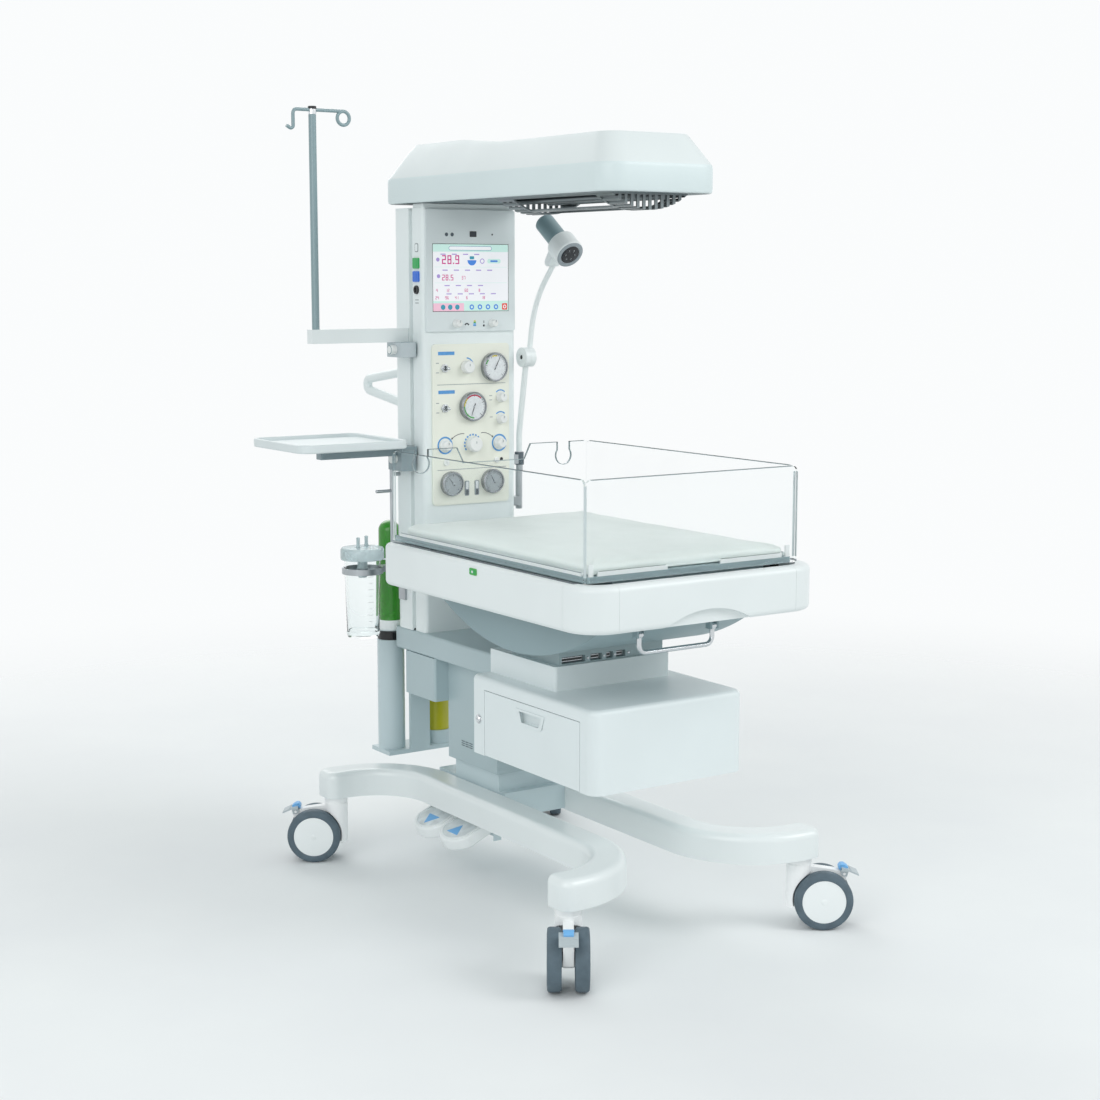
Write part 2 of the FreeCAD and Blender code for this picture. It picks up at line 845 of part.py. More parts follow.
def make_brake(corner):
    """Brake lever: two cheeks on the fork's pin and a paddle that reaches out behind the wheels."""
    body = new_body(f"caster_brake_{corner}")
    pin_x, pin_z = brake_pin_place()
    low = d.fork_half_width + d.seat_gap
    high = low + d.brake_thickness - d.seat_gap
    bridge = pin_z + d.brake_pin_radius * 2 + d.seat_gap
    tip_x = pin_x + d.brake_reach
    cheek = [
        (pin_x - d.brake_pin_radius * 2, pin_z - d.brake_pin_radius),
        (pin_x + d.brake_pin_radius * 2, pin_z - d.brake_pin_radius * 2),
        (pin_x + d.brake_pin_radius * 3, bridge),
        (pin_x - d.brake_pin_radius * 3, bridge),
    ]
    paddle = [
        (pin_x - d.brake_pin_radius * 2, bridge),
        (pin_x + d.brake_pin_radius * 3, bridge),
        (tip_x, pin_z - d.brake_pin_radius),
        (tip_x, pin_z - d.brake_pin_radius + d.brake_thickness),
        (pin_x + d.brake_pin_radius * 3, bridge + d.brake_thickness),
        (pin_x - d.brake_pin_radius * 2, bridge + d.brake_thickness * 2),
    ]
    pad(body, "y", paddle, -d.brake_half_width, d.brake_half_width)
    pad(body, "y", cheek, low, high)
    pad(body, "y", cheek, -high, -low)
    pocket(body, "y", Circle(pin_x, pin_z, d.brake_pin_radius + d.shaft_gap), -high, high)
    body.Placement = caster_placement(corner)
    return node(body, body.Name)


# carriage

def make_lift_housing():
    """Lower housing of the carriage, a sleeve that slides on the lift tube."""
    body = new_body("lift_housing")
    wall = d.liner_wall + d.seat_gap
    outside = rect(-d.tube_half_x - wall, d.tube_half_x + wall, d.tube_front - wall, d.tube_rear + wall)
    inside = rect(
        -d.tube_half_x - d.seat_gap,
        d.tube_half_x + d.seat_gap,
        d.tube_front - d.seat_gap,
        d.tube_rear + d.seat_gap,
    )
    pad(body, "z", outside, d.housing_bottom, d.chassis_bottom)
    pocket(body, "z", inside, d.housing_bottom, d.chassis_bottom)
    return node(body, "lift_housing")


def make_chassis():
    """Chassis beam from cabinet to column, with the power box under its rear end."""
    beam = new_body("chassis_bar")
    outline = rect(-d.cover_half_x, d.cover_half_x, d.cabinet_rear, d.cover_rear)
    bar = pad(beam, "z", outline, d.chassis_bottom, d.chassis_top)
    round_edges(beam, bar, 6, lambda e: is_along(e, Vector(0, 1, 0)))
    housing_rear = d.tube_rear + d.liner_wall + d.seat_gap
    power = new_body("power_box")
    shape = rect(-d.cover_half_x, d.cover_half_x, housing_rear + d.seat_gap, d.power_box_rear)
    block = pad(power, "z", shape, d.power_box_bottom, d.chassis_bottom)
    round_edges(power, block, 6, lambda e: is_along(e, UP))
    return node(group("chassis_beam", beam, power), "chassis_beam")


def make_column():
    """Front housing of the column, with a rail groove down each side and a bore for the hood's pivot."""
    body = new_body("column_housing")
    outline = [
        (-d.column_half_x, d.column_front),
        (d.column_half_x, d.column_front),
        (d.column_half_x, d.rail_front),
        (d.rail_half_x, d.rail_front),
        (d.rail_half_x, d.rail_rear),
        (-d.rail_half_x, d.rail_rear),
        (-d.rail_half_x, d.rail_front),
        (-d.column_half_x, d.rail_front),
    ]
    post = pad(body, "z", outline, d.chassis_top, d.column_top)
    round_edges(
        body, post, d.column_round, lambda e: is_along(e, UP) and lies_at(e, "y", d.column_front)
    )
    bore = Circle(0, d.hood_pivot_y, d.hood_pin_radius + d.shaft_gap)
    pocket(body, "z", bore, d.column_top - d.hood_pin_length - 2, d.column_top)
    return node(body, "column_housing")


def make_rear_cover():
    """Rear cover of the column, a deep channel closed at the top."""
    body = new_body("column_rear_cover")
    outside = rect(-d.cover_half_x, d.cover_half_x, d.rail_rear, d.cover_rear)
    post = pad(body, "z", outside, d.chassis_top, d.column_top)
    round_edges(body, post, d.cover_round, lambda e: is_along(e, UP) and lies_at(e, "y", d.cover_rear))
    inside = rect(
        d.cover_wall - d.cover_half_x,
        d.cover_half_x - d.cover_wall,
        d.rail_rear,
        d.cover_rear - d.cover_wall - d.cover_round / 4,
    )
    pocket(body, "z", inside, d.chassis_top, d.column_top - d.cover_wall)
    return node(body, "column_rear_cover")


def make_control_panel():
    """Upper front panel with the recess of the display and the shaft holes of its two knobs."""
    body = new_body("control_panel")
    outline = rect(-d.control_half_x, d.control_half_x, d.control_bottom, d.control_top)
    plate = pad(body, "y", outline, d.panel_face, d.column_front)
    round_edges(body, plate, 4, lambda e: is_along(e, Vector(0, 1, 0)))
    recess = rect(-d.screen_half_x, d.screen_half_x, d.screen_bottom, d.screen_top)
    pocket(body, "y", recess, d.panel_face, d.panel_face + d.screen_depth)
    for x, z in MENU_KNOBS.values():
        hole = Circle(x, z, d.knob_shaft_radius + d.shaft_gap)
        pocket(body, "y", hole, d.panel_face, d.column_front)
    return node(body, "control_panel")


def make_screen():
    """Display glass, set flush in the control panel."""
    body = new_body("display_screen")
    outline = rect(
        d.seat_gap - d.screen_half_x,
        d.screen_half_x - d.seat_gap,
        d.screen_bottom + d.seat_gap,
        d.screen_top - d.seat_gap,
    )
    pad(body, "y", outline, d.panel_face + d.seat_gap, d.panel_face + d.screen_depth)
    return node(body, "display_screen")


def make_gas_panel():
    """Lower front panel with holes for gauges, knob shafts and toggle levers."""
    body = new_body("gas_panel")
    outline = rect(-d.gas_half_x, d.gas_half_x, d.gas_bottom, d.gas_top)
    plate = pad(body, "y", outline, d.gas_face, d.column_front)
    round_edges(body, plate, 8, lambda e: is_along(e, Vector(0, 1, 0)))
    for x, z in [*GAS_KNOBS.values(), *RING_KNOBS.values()]:
        hole = Circle(x, z, d.knob_shaft_radius + d.shaft_gap)
        pocket(body, "y", hole, d.gas_face, d.column_front)
    for x, z in TOGGLES.values():
        pocket(body, "y", Circle(x, z, d.toggle_hole_radius), d.gas_face, d.column_front)
    return node(body, "gas_panel")


def make_gauge(name, x, z, radius):
    """A round gauge with a raised bezel and a recessed face, standing on the gas panel."""
    body = new_body(f"{name}_gauge")
    rim = d.gauge_depth
    outline = [
        (0, 0),
        (radius, 0),
        (radius, rim - 3),
        (radius - 2, rim),
        (radius - d.gauge_bezel, rim),
        (radius - d.gauge_bezel, rim - d.gauge_sink),
        (0, rim - d.gauge_sink),
    ]
    revolve(body, outline)
    body.Placement = Placement(Vector(x, float(d.gas_face), z), Rotation(Vector(1, 0, 0), 90))
    return body


def make_gauges():
    large = [make_gauge(name, x, z, d.gauge_radius) for name, (x, z) in GAUGES.items()]
    small = [make_gauge(name, x, z, d.small_gauge_radius) for name, (x, z) in SMALL_GAUGES.items()]
    return node(group("pressure_gauges", *large, *small), "pressure_gauges")


def make_knob(label, x, z, radius, face):
    """A turned knob with a skirt and a pointer ridge, on a shaft through its panel."""
    body = new_body(label)
    depth = d.column_front - face
    outline = [
        (0, -depth + d.seat_gap),
        (d.knob_shaft_radius, -depth + d.seat_gap),
        (d.knob_shaft_radius, d.seat_gap),
        (radius, d.seat_gap),
        (radius, d.knob_length * 0.2),
        (radius * 0.86, d.knob_length * 0.35),
        (radius * 0.8, d.knob_length * 0.86),
        (radius * 0.66, d.knob_length),
        (0, d.knob_length),
    ]
    revolve(body, outline)
    ridge = rect(-radius * 0.12, radius * 0.12, 0, radius * 0.72)
    pad(body, "z", ridge, d.knob_length * 0.9, d.knob_length + 1.2)
    body.Placement = Placement(Vector(x, float(face), z), Rotation(Vector(1, 0, 0), 90))
    return node(body, label)


def make_toggle(label, x, z):
    """A toggle lever: a ball in the panel with a cross pin, a slim stem and a rounded tip."""
    body = new_body(label)
    ball = d.toggle_ball
    neck = ball * 0.5
    join = Size(float(ball) * math.sqrt(0.75), f"({ball.text} * {math.sqrt(0.75)!r})")
    tip = d.toggle_tip
    outline = [
        (0, -ball),
        (neck, join, ball, -1),
        (tip, d.toggle_length - tip),
        (0, d.toggle_length, tip, -1),
    ]
    revolve(body, outline)
    pad(body, "x", Circle(0, 0, d.toggle_pin_radius), -d.toggle_pin_half, d.toggle_pin_half)
    centre = d.column_front - d.toggle_ball - d.seat_gap
    body.Placement = Placement(Vector(x, float(centre), z), Rotation(Vector(1, 0, 0), 90))
    return node(body, label)


def make_grab_handles():
    """A pair of looped grab handles behind the column, for pushing the stand."""
    loops = []
    for side in (-1, 1):
        x = d.grab_x * side
        points = [
            (x, d.cover_rear, d.grab_top),
            (x, d.cover_rear + d.grab_reach, d.grab_top),
            (x, d.cover_rear + d.grab_reach, d.grab_bottom),
            (x, d.cover_rear, d.grab_bottom),
        ]
        loops.append(tube(f"grab_loop_{'left' if side < 0 else 'right'}", points, d.grab_bend, d.grab_radius))
    return node(group("rear_handles", *loops), "rear_handles")


def make_cabinet():
    """Cabinet with rounded edges, an open left side for the drawer, runners in it and a plinth on top."""
    body = new_body("cabinet_shell")
    outline = rect(-d.cabinet_half_x, d.cabinet_half_x, d.cabinet_front, d.cabinet_rear)
    block = pad(body, "z", outline, d.cabinet_bottom, d.cabinet_top)
    upright = round_edges(
        body, block, d.cabinet_round, lambda e: is_along(e, UP) and lies_at(e, "y", d.cabinet_front)
    )
    round_edges(
        body,
        upright,
        d.cabinet_top_round,
        lambda e: lies_at(e, "z", d.cabinet_top) and not lies_at(e, "y", d.cabinet_rear),
    )
    floor = d.cabinet_bottom + d.cabinet_floor
    bay_end = d.drawer_depth - d.cabinet_half_x + d.drawer_face + 4
    pocket(
        body,
        "x",
        rect(d.drawer_front_y, d.drawer_rear_y, floor, d.drawer_top),
        -d.cabinet_half_x,
        bay_end,
    )
    mouth = rect(d.drawer_front_y, d.drawer_rear_y, d.cabinet_bottom, d.drawer_top)
    pocket(body, "x", mouth, -d.cabinet_half_x, d.drawer_face - d.cabinet_half_x + d.drawer_gap)
    for y in (d.drawer_front_y + 40, d.drawer_rear_y - 60):
        runner = rect(y, y + 20, floor - 1, floor + d.runner_height)
        pad(body, "x", runner, d.drawer_face - d.cabinet_half_x + d.drawer_gap, bay_end)
    lock_hole = Circle(d.lock_y, d.lock_z, d.lock_radius * 0.6 + d.shaft_gap)
    pocket(body, "x", lock_hole, -d.cabinet_half_x, 14 - d.cabinet_half_x)
    plinth = rect(-d.plinth_half_x, d.plinth_half_x, d.plinth_front, d.cabinet_rear)
    step = pad(body, "z", plinth, d.cabinet_top, d.plinth_top)
    round_edges(body, step, 8, lambda e: is_along(e, UP) and lies_at(e, "y", d.plinth_front))
    return node(body, "cabinet_shell")


def make_drawer():
    """Drawer with a rounded face, an open box behind it and a moulded finger pull in the face."""
    body = new_body("drawer")
    gap = d.drawer_gap
    left = -d.cabinet_half_x
    face_in = left + d.drawer_face
    rear_x = left + d.drawer_face + d.drawer_depth
    floor = d.cabinet_bottom + d.cabinet_floor + d.runner_height + d.seat_gap
    front_y = d.drawer_front_y + gap
    rear_y = d.drawer_rear_y - gap
    face = rect(front_y, rear_y, d.cabinet_bottom + gap, d.drawer_top - gap)
    pad(body, "x", face, left, face_in)
    side = d.drawer_wall * 3
    tray = rect(front_y + side, rear_y - side, floor, d.drawer_top - 18)
    pad(body, "x", tray, face_in, rear_x)
    inside = rect(
        front_y + side + d.drawer_wall,
        rear_y - side - d.drawer_wall,
        floor + d.drawer_wall,
        d.drawer_top,
    )
    pocket(body, "x", inside, face_in, rear_x - d.drawer_wall)
    middle = (d.drawer_front_y + d.drawer_rear_y) / 2
    low = d.pull_top - d.pull_height
    grip = [
        (middle - d.pull_length / 2, d.pull_top),
        (middle - d.pull_length * 0.42, low),
        (middle + d.pull_length * 0.42, low),
        (middle + d.pull_length / 2, d.pull_top),
    ]
    pocket(body, "x", grip, left, left + d.pull_depth)
    return node(body, "drawer")


def make_drawer_lock():
    """Cam lock beside the drawer: a round face on a barrel, with a key slot."""
    body = new_body("drawer_lock")
    r = d.lock_radius
    outline = [
        (0, -12),
        (r * 0.6, -12),
        (r * 0.6, d.seat_gap),
        (r, d.seat_gap),
        (r, 3),
        (r * 0.8, 4.5),
        (0, 4.5),
    ]
    revolve(body, outline)
    pocket(body, "z", rect(-0.8, 0.8, -r * 0.5, r * 0.5), 2, 5)
    spot = Vector(-float(d.cabinet_half_x), float(d.lock_y), float(d.lock_z))
    body.Placement = Placement(spot, Rotation(Vector(0, 1, 0), -90))
    return node(body, "drawer_lock")


def make_port_block():
    """Cradle on the plinth: its hollow top carries the rocker, and its front holds connector ports."""
    body = new_body("port_block_body")
    outline = rect(
        -d.cradle_half_x,
        d.cradle_half_x,
        d.tilt_y - d.cradle_half_y,
        d.tilt_y + d.cradle_half_y,
    )
    top = d.rocker_bottom + d.cradle_lip
    pad(body, "z", outline, d.plinth_top, top)
    front = d.tilt_y - d.cradle_half_y
    for x0, x1 in PORTS:
        port_low = d.plinth_top + d.port_lift
        port = rect(x0, x1, port_low, port_low + d.port_height)
        pocket(body, "y", port, front, front + d.port_depth)
    hollow = cylinder(
        "cradle_hollow",
        "x",
        d.rocker_radius + d.slide_gap,
        -d.cradle_half_x - 5,
        d.cradle_half_x + 5,
        d.tilt_y,
        tilt_z,
    )
    return node(cut("port_block", body, hollow), "port_block")


def make_cylinder_cradle():
    """Cradle behind the column: a floor, a back plate, a tall and a short cup, and a strap."""
    y = d.cylinder_y
    tall = d.oxygen_radius + d.seat_gap + d.cup_wall
    short = d.air_radius + d.seat_gap + d.cup_wall
    floor_low = d.cradle_floor - d.cradle_floor_thickness
    plate = box(
        "cradle_plate",
        d.oxygen_x - tall,
        d.air_x + short,
        d.cover_rear,
        y + short,
        floor_low,
        d.cradle_floor,
    )
    back = box(
        "cradle_back_plate",
        d.cradle_back_left,
        d.cradle_back_right,
        d.cover_rear,
        d.cover_rear + d.cradle_back,
        d.cradle_floor,
        d.chassis_top,
    )
    tall_cup = cylinder("tall_cup", "z", tall, d.cradle_floor, d.cup_top, d.oxygen_x, y)
    short_top = d.cradle_floor + d.short_cup_height
    short_cup = cylinder("short_cup", "z", short, d.cradle_floor, short_top, d.air_x, y)
    tall_bore = cylinder(
        "tall_bore", "z", d.oxygen_radius + d.seat_gap, d.cradle_floor, d.chassis_top, d.oxygen_x, y
    )
    short_bore = cylinder(
        "short_bore", "z", d.air_radius + d.seat_gap, d.cradle_floor, d.chassis_top, d.air_x, y
    )
    frame = cut("cradle_frame", fuse("cradle_solid", plate, back, tall_cup, short_cup), tall_bore, short_bore)
    band = cylinder(
        "strap_band", "z", tall - 2, d.cup_top, d.cup_top + d.strap_height, d.oxygen_x, y
    )
    lug = box(
        "strap_lug",
        d.oxygen_x,
        d.cradle_back_left,
        d.cover_rear + d.cradle_back,
        y - d.oxygen_radius,
        d.cup_top,
        d.cup_top + d.strap_height,
    )
    bore = cylinder(
        "strap_bore", "z", d.oxygen_radius + d.seat_gap, d.cup_top, d.chassis_top, d.oxygen_x, y
    )
    strap = cut("cradle_strap", fuse("strap_solid", band, lug), bore)
    return node(group("cylinder_cradle", frame, strap), "cylinder_cradle")


def make_gas_cylinder(name, x, radius, top):
    """A gas cylinder with a domed shoulder and a valve cap, turned in one piece."""
    body = new_body(name)
    bottom = d.cradle_floor + d.seat_gap
    shoulder = top - radius
    outline = [
        (0, bottom),
        (radius - 4, bottom),
        (radius, bottom + 4),
        (radius, shoulder),
        (radius * 0.42, shoulder + radius * 0.78, radius * 1.05, 1),
        (radius * 0.42, top),
        (0, top),
    ]
    revolve(body, outline)
    body.Placement = Placement(Vector(float(x), float(d.cylinder_y), 0), Rotation())
    return body


def make_gas_cylinders():
    oxygen = make_gas_cylinder("oxygen_bottle", d.oxygen_x, d.oxygen_radius, d.oxygen_top)
    air = make_gas_cylinder("air_bottle", d.air_x, d.air_radius, d.air_top)
    return node(group("gas_cylinders", oxygen, air), "gas_cylinders")


def make_suction_jar():
    """Clear suction jar, open at the top, under a lid with two nozzles and an inner float tube."""
    jar = new_body("jar_glass")
    r = d.jar_radius
    low_r = r * 0.88
    height = d.jar_top - d.jar_bottom
    outline = [
        (0, 0),
        (low_r - 4, 0),
        (low_r, 4),
        (r, height),
        (r - d.jar_wall, height),
        (low_r - d.jar_wall, d.jar_wall * 2),
        (0, d.jar_wall * 2),
    ]
    revolve(jar, outline)
    jar.Placement = Placement(Vector(float(d.jar_x), float(d.jar_y), float(d.jar_bottom)), Rotation())
    lid = new_body("jar_lid")
    cap = pad(lid, "z", Circle(0, 0, d.lid_radius), 0, d.lid_height)
    round_edges(lid, cap, 4, lambda e: lies_at(e, "z", d.lid_height))
    for side in (-1, 1):
        spot = Circle(d.nozzle_offset * side, 0, d.nozzle_radius)
        pad(lid, "z", spot, d.lid_height - 1, d.lid_height + d.nozzle_height)
        hole = Circle(d.nozzle_offset * side, 0, d.nozzle_radius * 0.5)
        pocket(lid, "z", hole, d.lid_height, d.lid_height + d.nozzle_height)
    pad(lid, "z", Circle(0, 0, d.nozzle_radius * 2.4), -d.lid_height * 1.6, 1)
    lid.Placement = Placement(
        Vector(float(d.jar_x), float(d.jar_y), float(d.jar_top)), Rotation(UP, 30)
    )
    return node(group("suction_jar", jar, lid), "suction_jar")


def make_accessory_rod():
    """Accessory rod on the left of the column with a hanging peg, and the holder of the suction jar."""
    rod = cylinder("rod_bar", "z", d.rod_radius, d.rod_bottom, d.rod_top, d.rod_x, d.rod_y)
    peg = cylinder("rod_peg", "x", d.rod_radius * 0.8, d.rod_x - d.peg_length, d.rod_x, d.rod_y, d.peg_z)
    stand_offs = []
    for name, z in (("low", d.rod_bottom + 14), ("high", d.rod_top - 14)):
        stand_offs.append(
            cylinder(f"rod_stand_off_{name}", "x", d.rod_radius, d.rod_x, -d.cover_half_x, d.rod_y, z)
        )
    rail = fuse("rod_rail", rod, peg, *stand_offs)
    ring_z = d.jar_top - 34
    plate = box(
        "holder_plate",
        -d.cover_half_x - 6,
        -d.cover_half_x,
        d.jar_y - 24,
        d.cover_rear - d.cover_round,
        ring_z - 70,
        ring_z + 20,
    )
    arm = box(
        "holder_arm",
        d.jar_x + d.jar_radius * 0.7,
        -d.cover_half_x - 5,
        d.jar_y - 12,
        d.jar_y + 12,
        ring_z,
        ring_z + 14,
    )
    ring = cylinder("holder_ring", "z", d.jar_radius + 5, ring_z, ring_z + 14, d.jar_x, d.jar_y)
    bore = cylinder(
        "holder_bore", "z", d.jar_radius + d.seat_gap, ring_z - 1, ring_z + 15, d.jar_x, d.jar_y
    )
    holder = cut("jar_holder", fuse("holder_solid", plate, arm, ring), bore)
    return node(group("accessory_rod", rail, holder), "accessory_rod")


def make_lamp_post():
    """Socket post of the lamp, held to the column's right side by two brackets."""
    bar = cylinder("post_bar", "z", d.post_radius, d.post_bottom, d.post_top, d.lamp_x, d.lamp_y)
    collar = cylinder(
        "post_collar", "z", d.post_radius + 2.5, d.post_top - 31, d.post_top, d.lamp_x, d.lamp_y
    )
    brackets = []
    for name, z in (("low", d.post_bottom + 8), ("high", d.post_top - 28)):
        brackets.append(
            box(
                f"post_bracket_{name}",
                d.column_half_x,
                d.lamp_x,
                d.lamp_y - d.post_radius,
                d.lamp_y + d.post_radius,
                z,
                z + 22,
            )
        )
    bore = cylinder(
        "post_bore",
        "z",
        d.lamp_stub_radius + d.shaft_gap,
        d.post_bottom + 20,
        d.post_top,
        d.lamp_x,
        d.lamp_y,
    )
    return node(cut("lamp_post", fuse("post_solid", bar, collar, *brackets), bore), "lamp_post")


def make_lamp_pole():
    """Lamp pole: a stub that turns in the post, a tube that leans forward and the lower half of the elbow."""
    x = d.lamp_x
    stub = cylinder(
        "pole_stub",
        "z",
        d.lamp_stub_radius,
        d.post_bottom + 24,
        d.post_top + 6,
        x,
        d.lamp_y,
    )
    riser = tube(
        "pole_tube",
        [
            (x, d.lamp_y, d.post_top + d.seat_gap),
            (x, d.lamp_y, d.post_top + 45),
            (x, d.elbow_y, d.elbow_z - 6),
        ],
        120,
        d.lamp_tube_radius,
    )
    disc = cylinder(
        "pole_disc",
        "x",
        d.elbow_radius,
        x - d.elbow_half_x,
        x - d.seat_gap / 2,
        d.elbow_y,
        d.elbow_z,
    )
    room = cylinder(
        "pole_room",
        "x",
        d.elbow_radius + 1,
        x - d.seat_gap / 2,
        x + d.elbow_half_x * 2,
        d.elbow_y,
        d.elbow_z,
    )
    pin = cylinder(
        "pole_pin", "x", d.elbow_pin, x - d.elbow_half_x, x + d.elbow_half_x, d.elbow_y, d.elbow_z
    )
    leaning = cut("pole_leaning", fuse("pole_upper", riser, disc), room)
    return node(fuse("lamp_pole", stub, leaning, pin), "lamp_pole")


def make_lamp_arm():
    """Curved lamp arm between the elbow and the knuckle of the head."""
    x = d.lamp_x
    inner = x + d.seat_gap / 2
    outer = x + d.elbow_half_x
    centre = x + d.elbow_half_x / 2
    disc = cylinder("arm_disc", "x", d.elbow_radius, inner, outer, d.elbow_y, d.elbow_z)
    neck = tube(
        "arm_tube",
        [
            (centre, d.elbow_y, d.elbow_z),
            (centre, d.arm_mid_y, d.arm_mid_z),
            (centre, d.arm_end_y, d.arm_end_z),
        ],
        d.arm_bend,
        d.lamp_arm_radius,
    )
    knuckle = cylinder("arm_knuckle", "x", d.knuckle_radius, inner, outer, d.arm_end_y, d.arm_end_z)
    solid = fuse("arm_solid", disc, neck, knuckle)
    holes = [
        cylinder(
            "arm_elbow_hole", "x", d.elbow_pin + d.shaft_gap, inner - 1, outer + 1, d.elbow_y, d.elbow_z
        ),
        cylinder(
            "arm_head_hole", "x", d.elbow_pin + d.shaft_gap, inner - 1, outer + 1, d.arm_end_y, d.arm_end_z
        ),
    ]
    return node(cut("lamp_arm", solid, *holes), "lamp_arm")


def make_lamp_head():
    """Lamp head: a turned barrel with a wider bezel and a lens seat, and a lug with the knuckle's pin."""
    body = new_body("lamp_barrel")
    outline = [
        (0, -d.bezel_front + 4),
        (d.lens_radius, -d.bezel_front + 4),
        (d.lens_radius, -d.bezel_front),
        (d.bezel_radius - 2, -d.bezel_front),
        (d.bezel_radius, -d.bezel_front + 3),
        (d.bezel_radius, -d.bezel_rear - 8),
        (d.head_radius, -d.bezel_rear + 2),
        (d.head_radius, d.head_rear - 4),
        (d.head_radius - 4, d.head_rear),
        (0, d.head_rear),
    ]
    revolve(body, outline)
    drop = math.radians(float(d.head_drop_angle))
    ahead = Vector(0, -math.cos(drop), -math.sin(drop))
    across = Vector(0, -ahead.z, ahead.y)
    if across.z < 0:
        across = across * -1
    pivot = Vector(float(d.lamp_x), float(d.arm_end_y), float(d.arm_end_z))
    centre = pivot + across * float(d.head_offset)
    body.Placement = Placement(centre, Rotation(UP, ahead * -1))
    inner = d.lamp_x - d.seat_gap / 2
    outer = d.lamp_x - d.elbow_half_x
    disc = cylinder("head_disc", "x", d.knuckle_radius, outer, inner, d.arm_end_y, d.arm_end_z)
    pin = cylinder(
        "head_pin", "x", d.elbow_pin, outer, d.lamp_x + d.elbow_half_x, d.arm_end_y, d.arm_end_z
    )
    lug = doc.addObject("Part::Box", "head_lug")
    lug.setExpression("Length", (inner - outer).text)
    lug.setExpression("Width", (d.knuckle_radius * 2).text)
    lug.setExpression("Height", d.head_offset.text)
    turn = Rotation(UP, across)
    corner = Vector(0, -float(d.knuckle_radius), 0)
    lug.Placement = Placement(pivot + turn.multVec(corner), turn)
    lug.setExpression("Placement.Base.x", outer.text)
    return node(fuse("lamp_head", body, disc, lug, pin), "lamp_head")


# hood

def make_hood():
    """Hood shell: a plan outline, a side profile and a cross profile meet, and the inside is hollow."""
    def block(name, inset):
        """The hood's outer form drawn in by a wall."""
        side = new_body(f"{name}_side")
        front = d.hood_front + inset
        rear = d.hood_rear - inset
        low = d.hood_bottom + inset
        top = [
            (front, low),
            (rear, low),
            (rear, d.hood_belt),
            (rear - d.hood_slope_rear, d.hood_top_rear - inset),
            (0, d.hood_top_middle - inset, 1400, 1),
            (front + d.hood_slope_front, d.hood_top_front - inset),
            (front, d.hood_belt),
        ]
        pad(side, "x", top, -d.hood_half_x + inset, d.hood_half_x - inset)
        ends = new_body(f"{name}_ends")
        half = d.hood_half_x - inset
        shoulder = half - d.hood_slope_x
        gable = [
            (-half, low),
            (half, low),
            (half, d.hood_belt),
            (shoulder, d.hood_top_rear),
            (-shoulder, d.hood_top_rear),
            (-half, d.hood_belt),
        ]
        pad(ends, "y", gable, front, rear)
        plan = new_body(f"{name}_plan")
        slab = pad(plan, "z", rect(-half, half, front, rear), low, d.hood_top_rear)
        round_edges(plan, slab, d.hood_round - inset, lambda e: is_along(e, UP))
        return common(f"{name}_form", common(f"{name}_cross", side, ends), plan)

    outside = block("hood_outside", size_of(0))
    inside = block("hood_inside", d.hood_wall)
    mouth = box(
        "hood_mouth",
        d.heater_lip * 2 - d.heater_half_x,
        d.heater_half_x - d.heater_lip * 2,
        d.heater_front + d.heater_lip * 2,
        d.heater_rear - d.heater_lip * 2,
        d.hood_bottom - 1,
        d.hood_belt,
    )
    shell = cut("hood_moulding", outside, inside, mouth)
    neck = cylinder(
        "hood_neck",
        "z",
        d.hood_neck_radius,
        d.column_top + d.seat_gap,
        d.hood_bottom + d.hood_wall,
        0,
        d.hood_pivot_y,
    )
    pin = cylinder(
        "hood_pin",
        "z",
        d.hood_pin_radius,
        d.column_top - d.hood_pin_length,
        d.hood_bottom,
        0,
        d.hood_pivot_y,
    )
    return node(fuse("hood_shell", shell, neck, pin), "hood_shell")


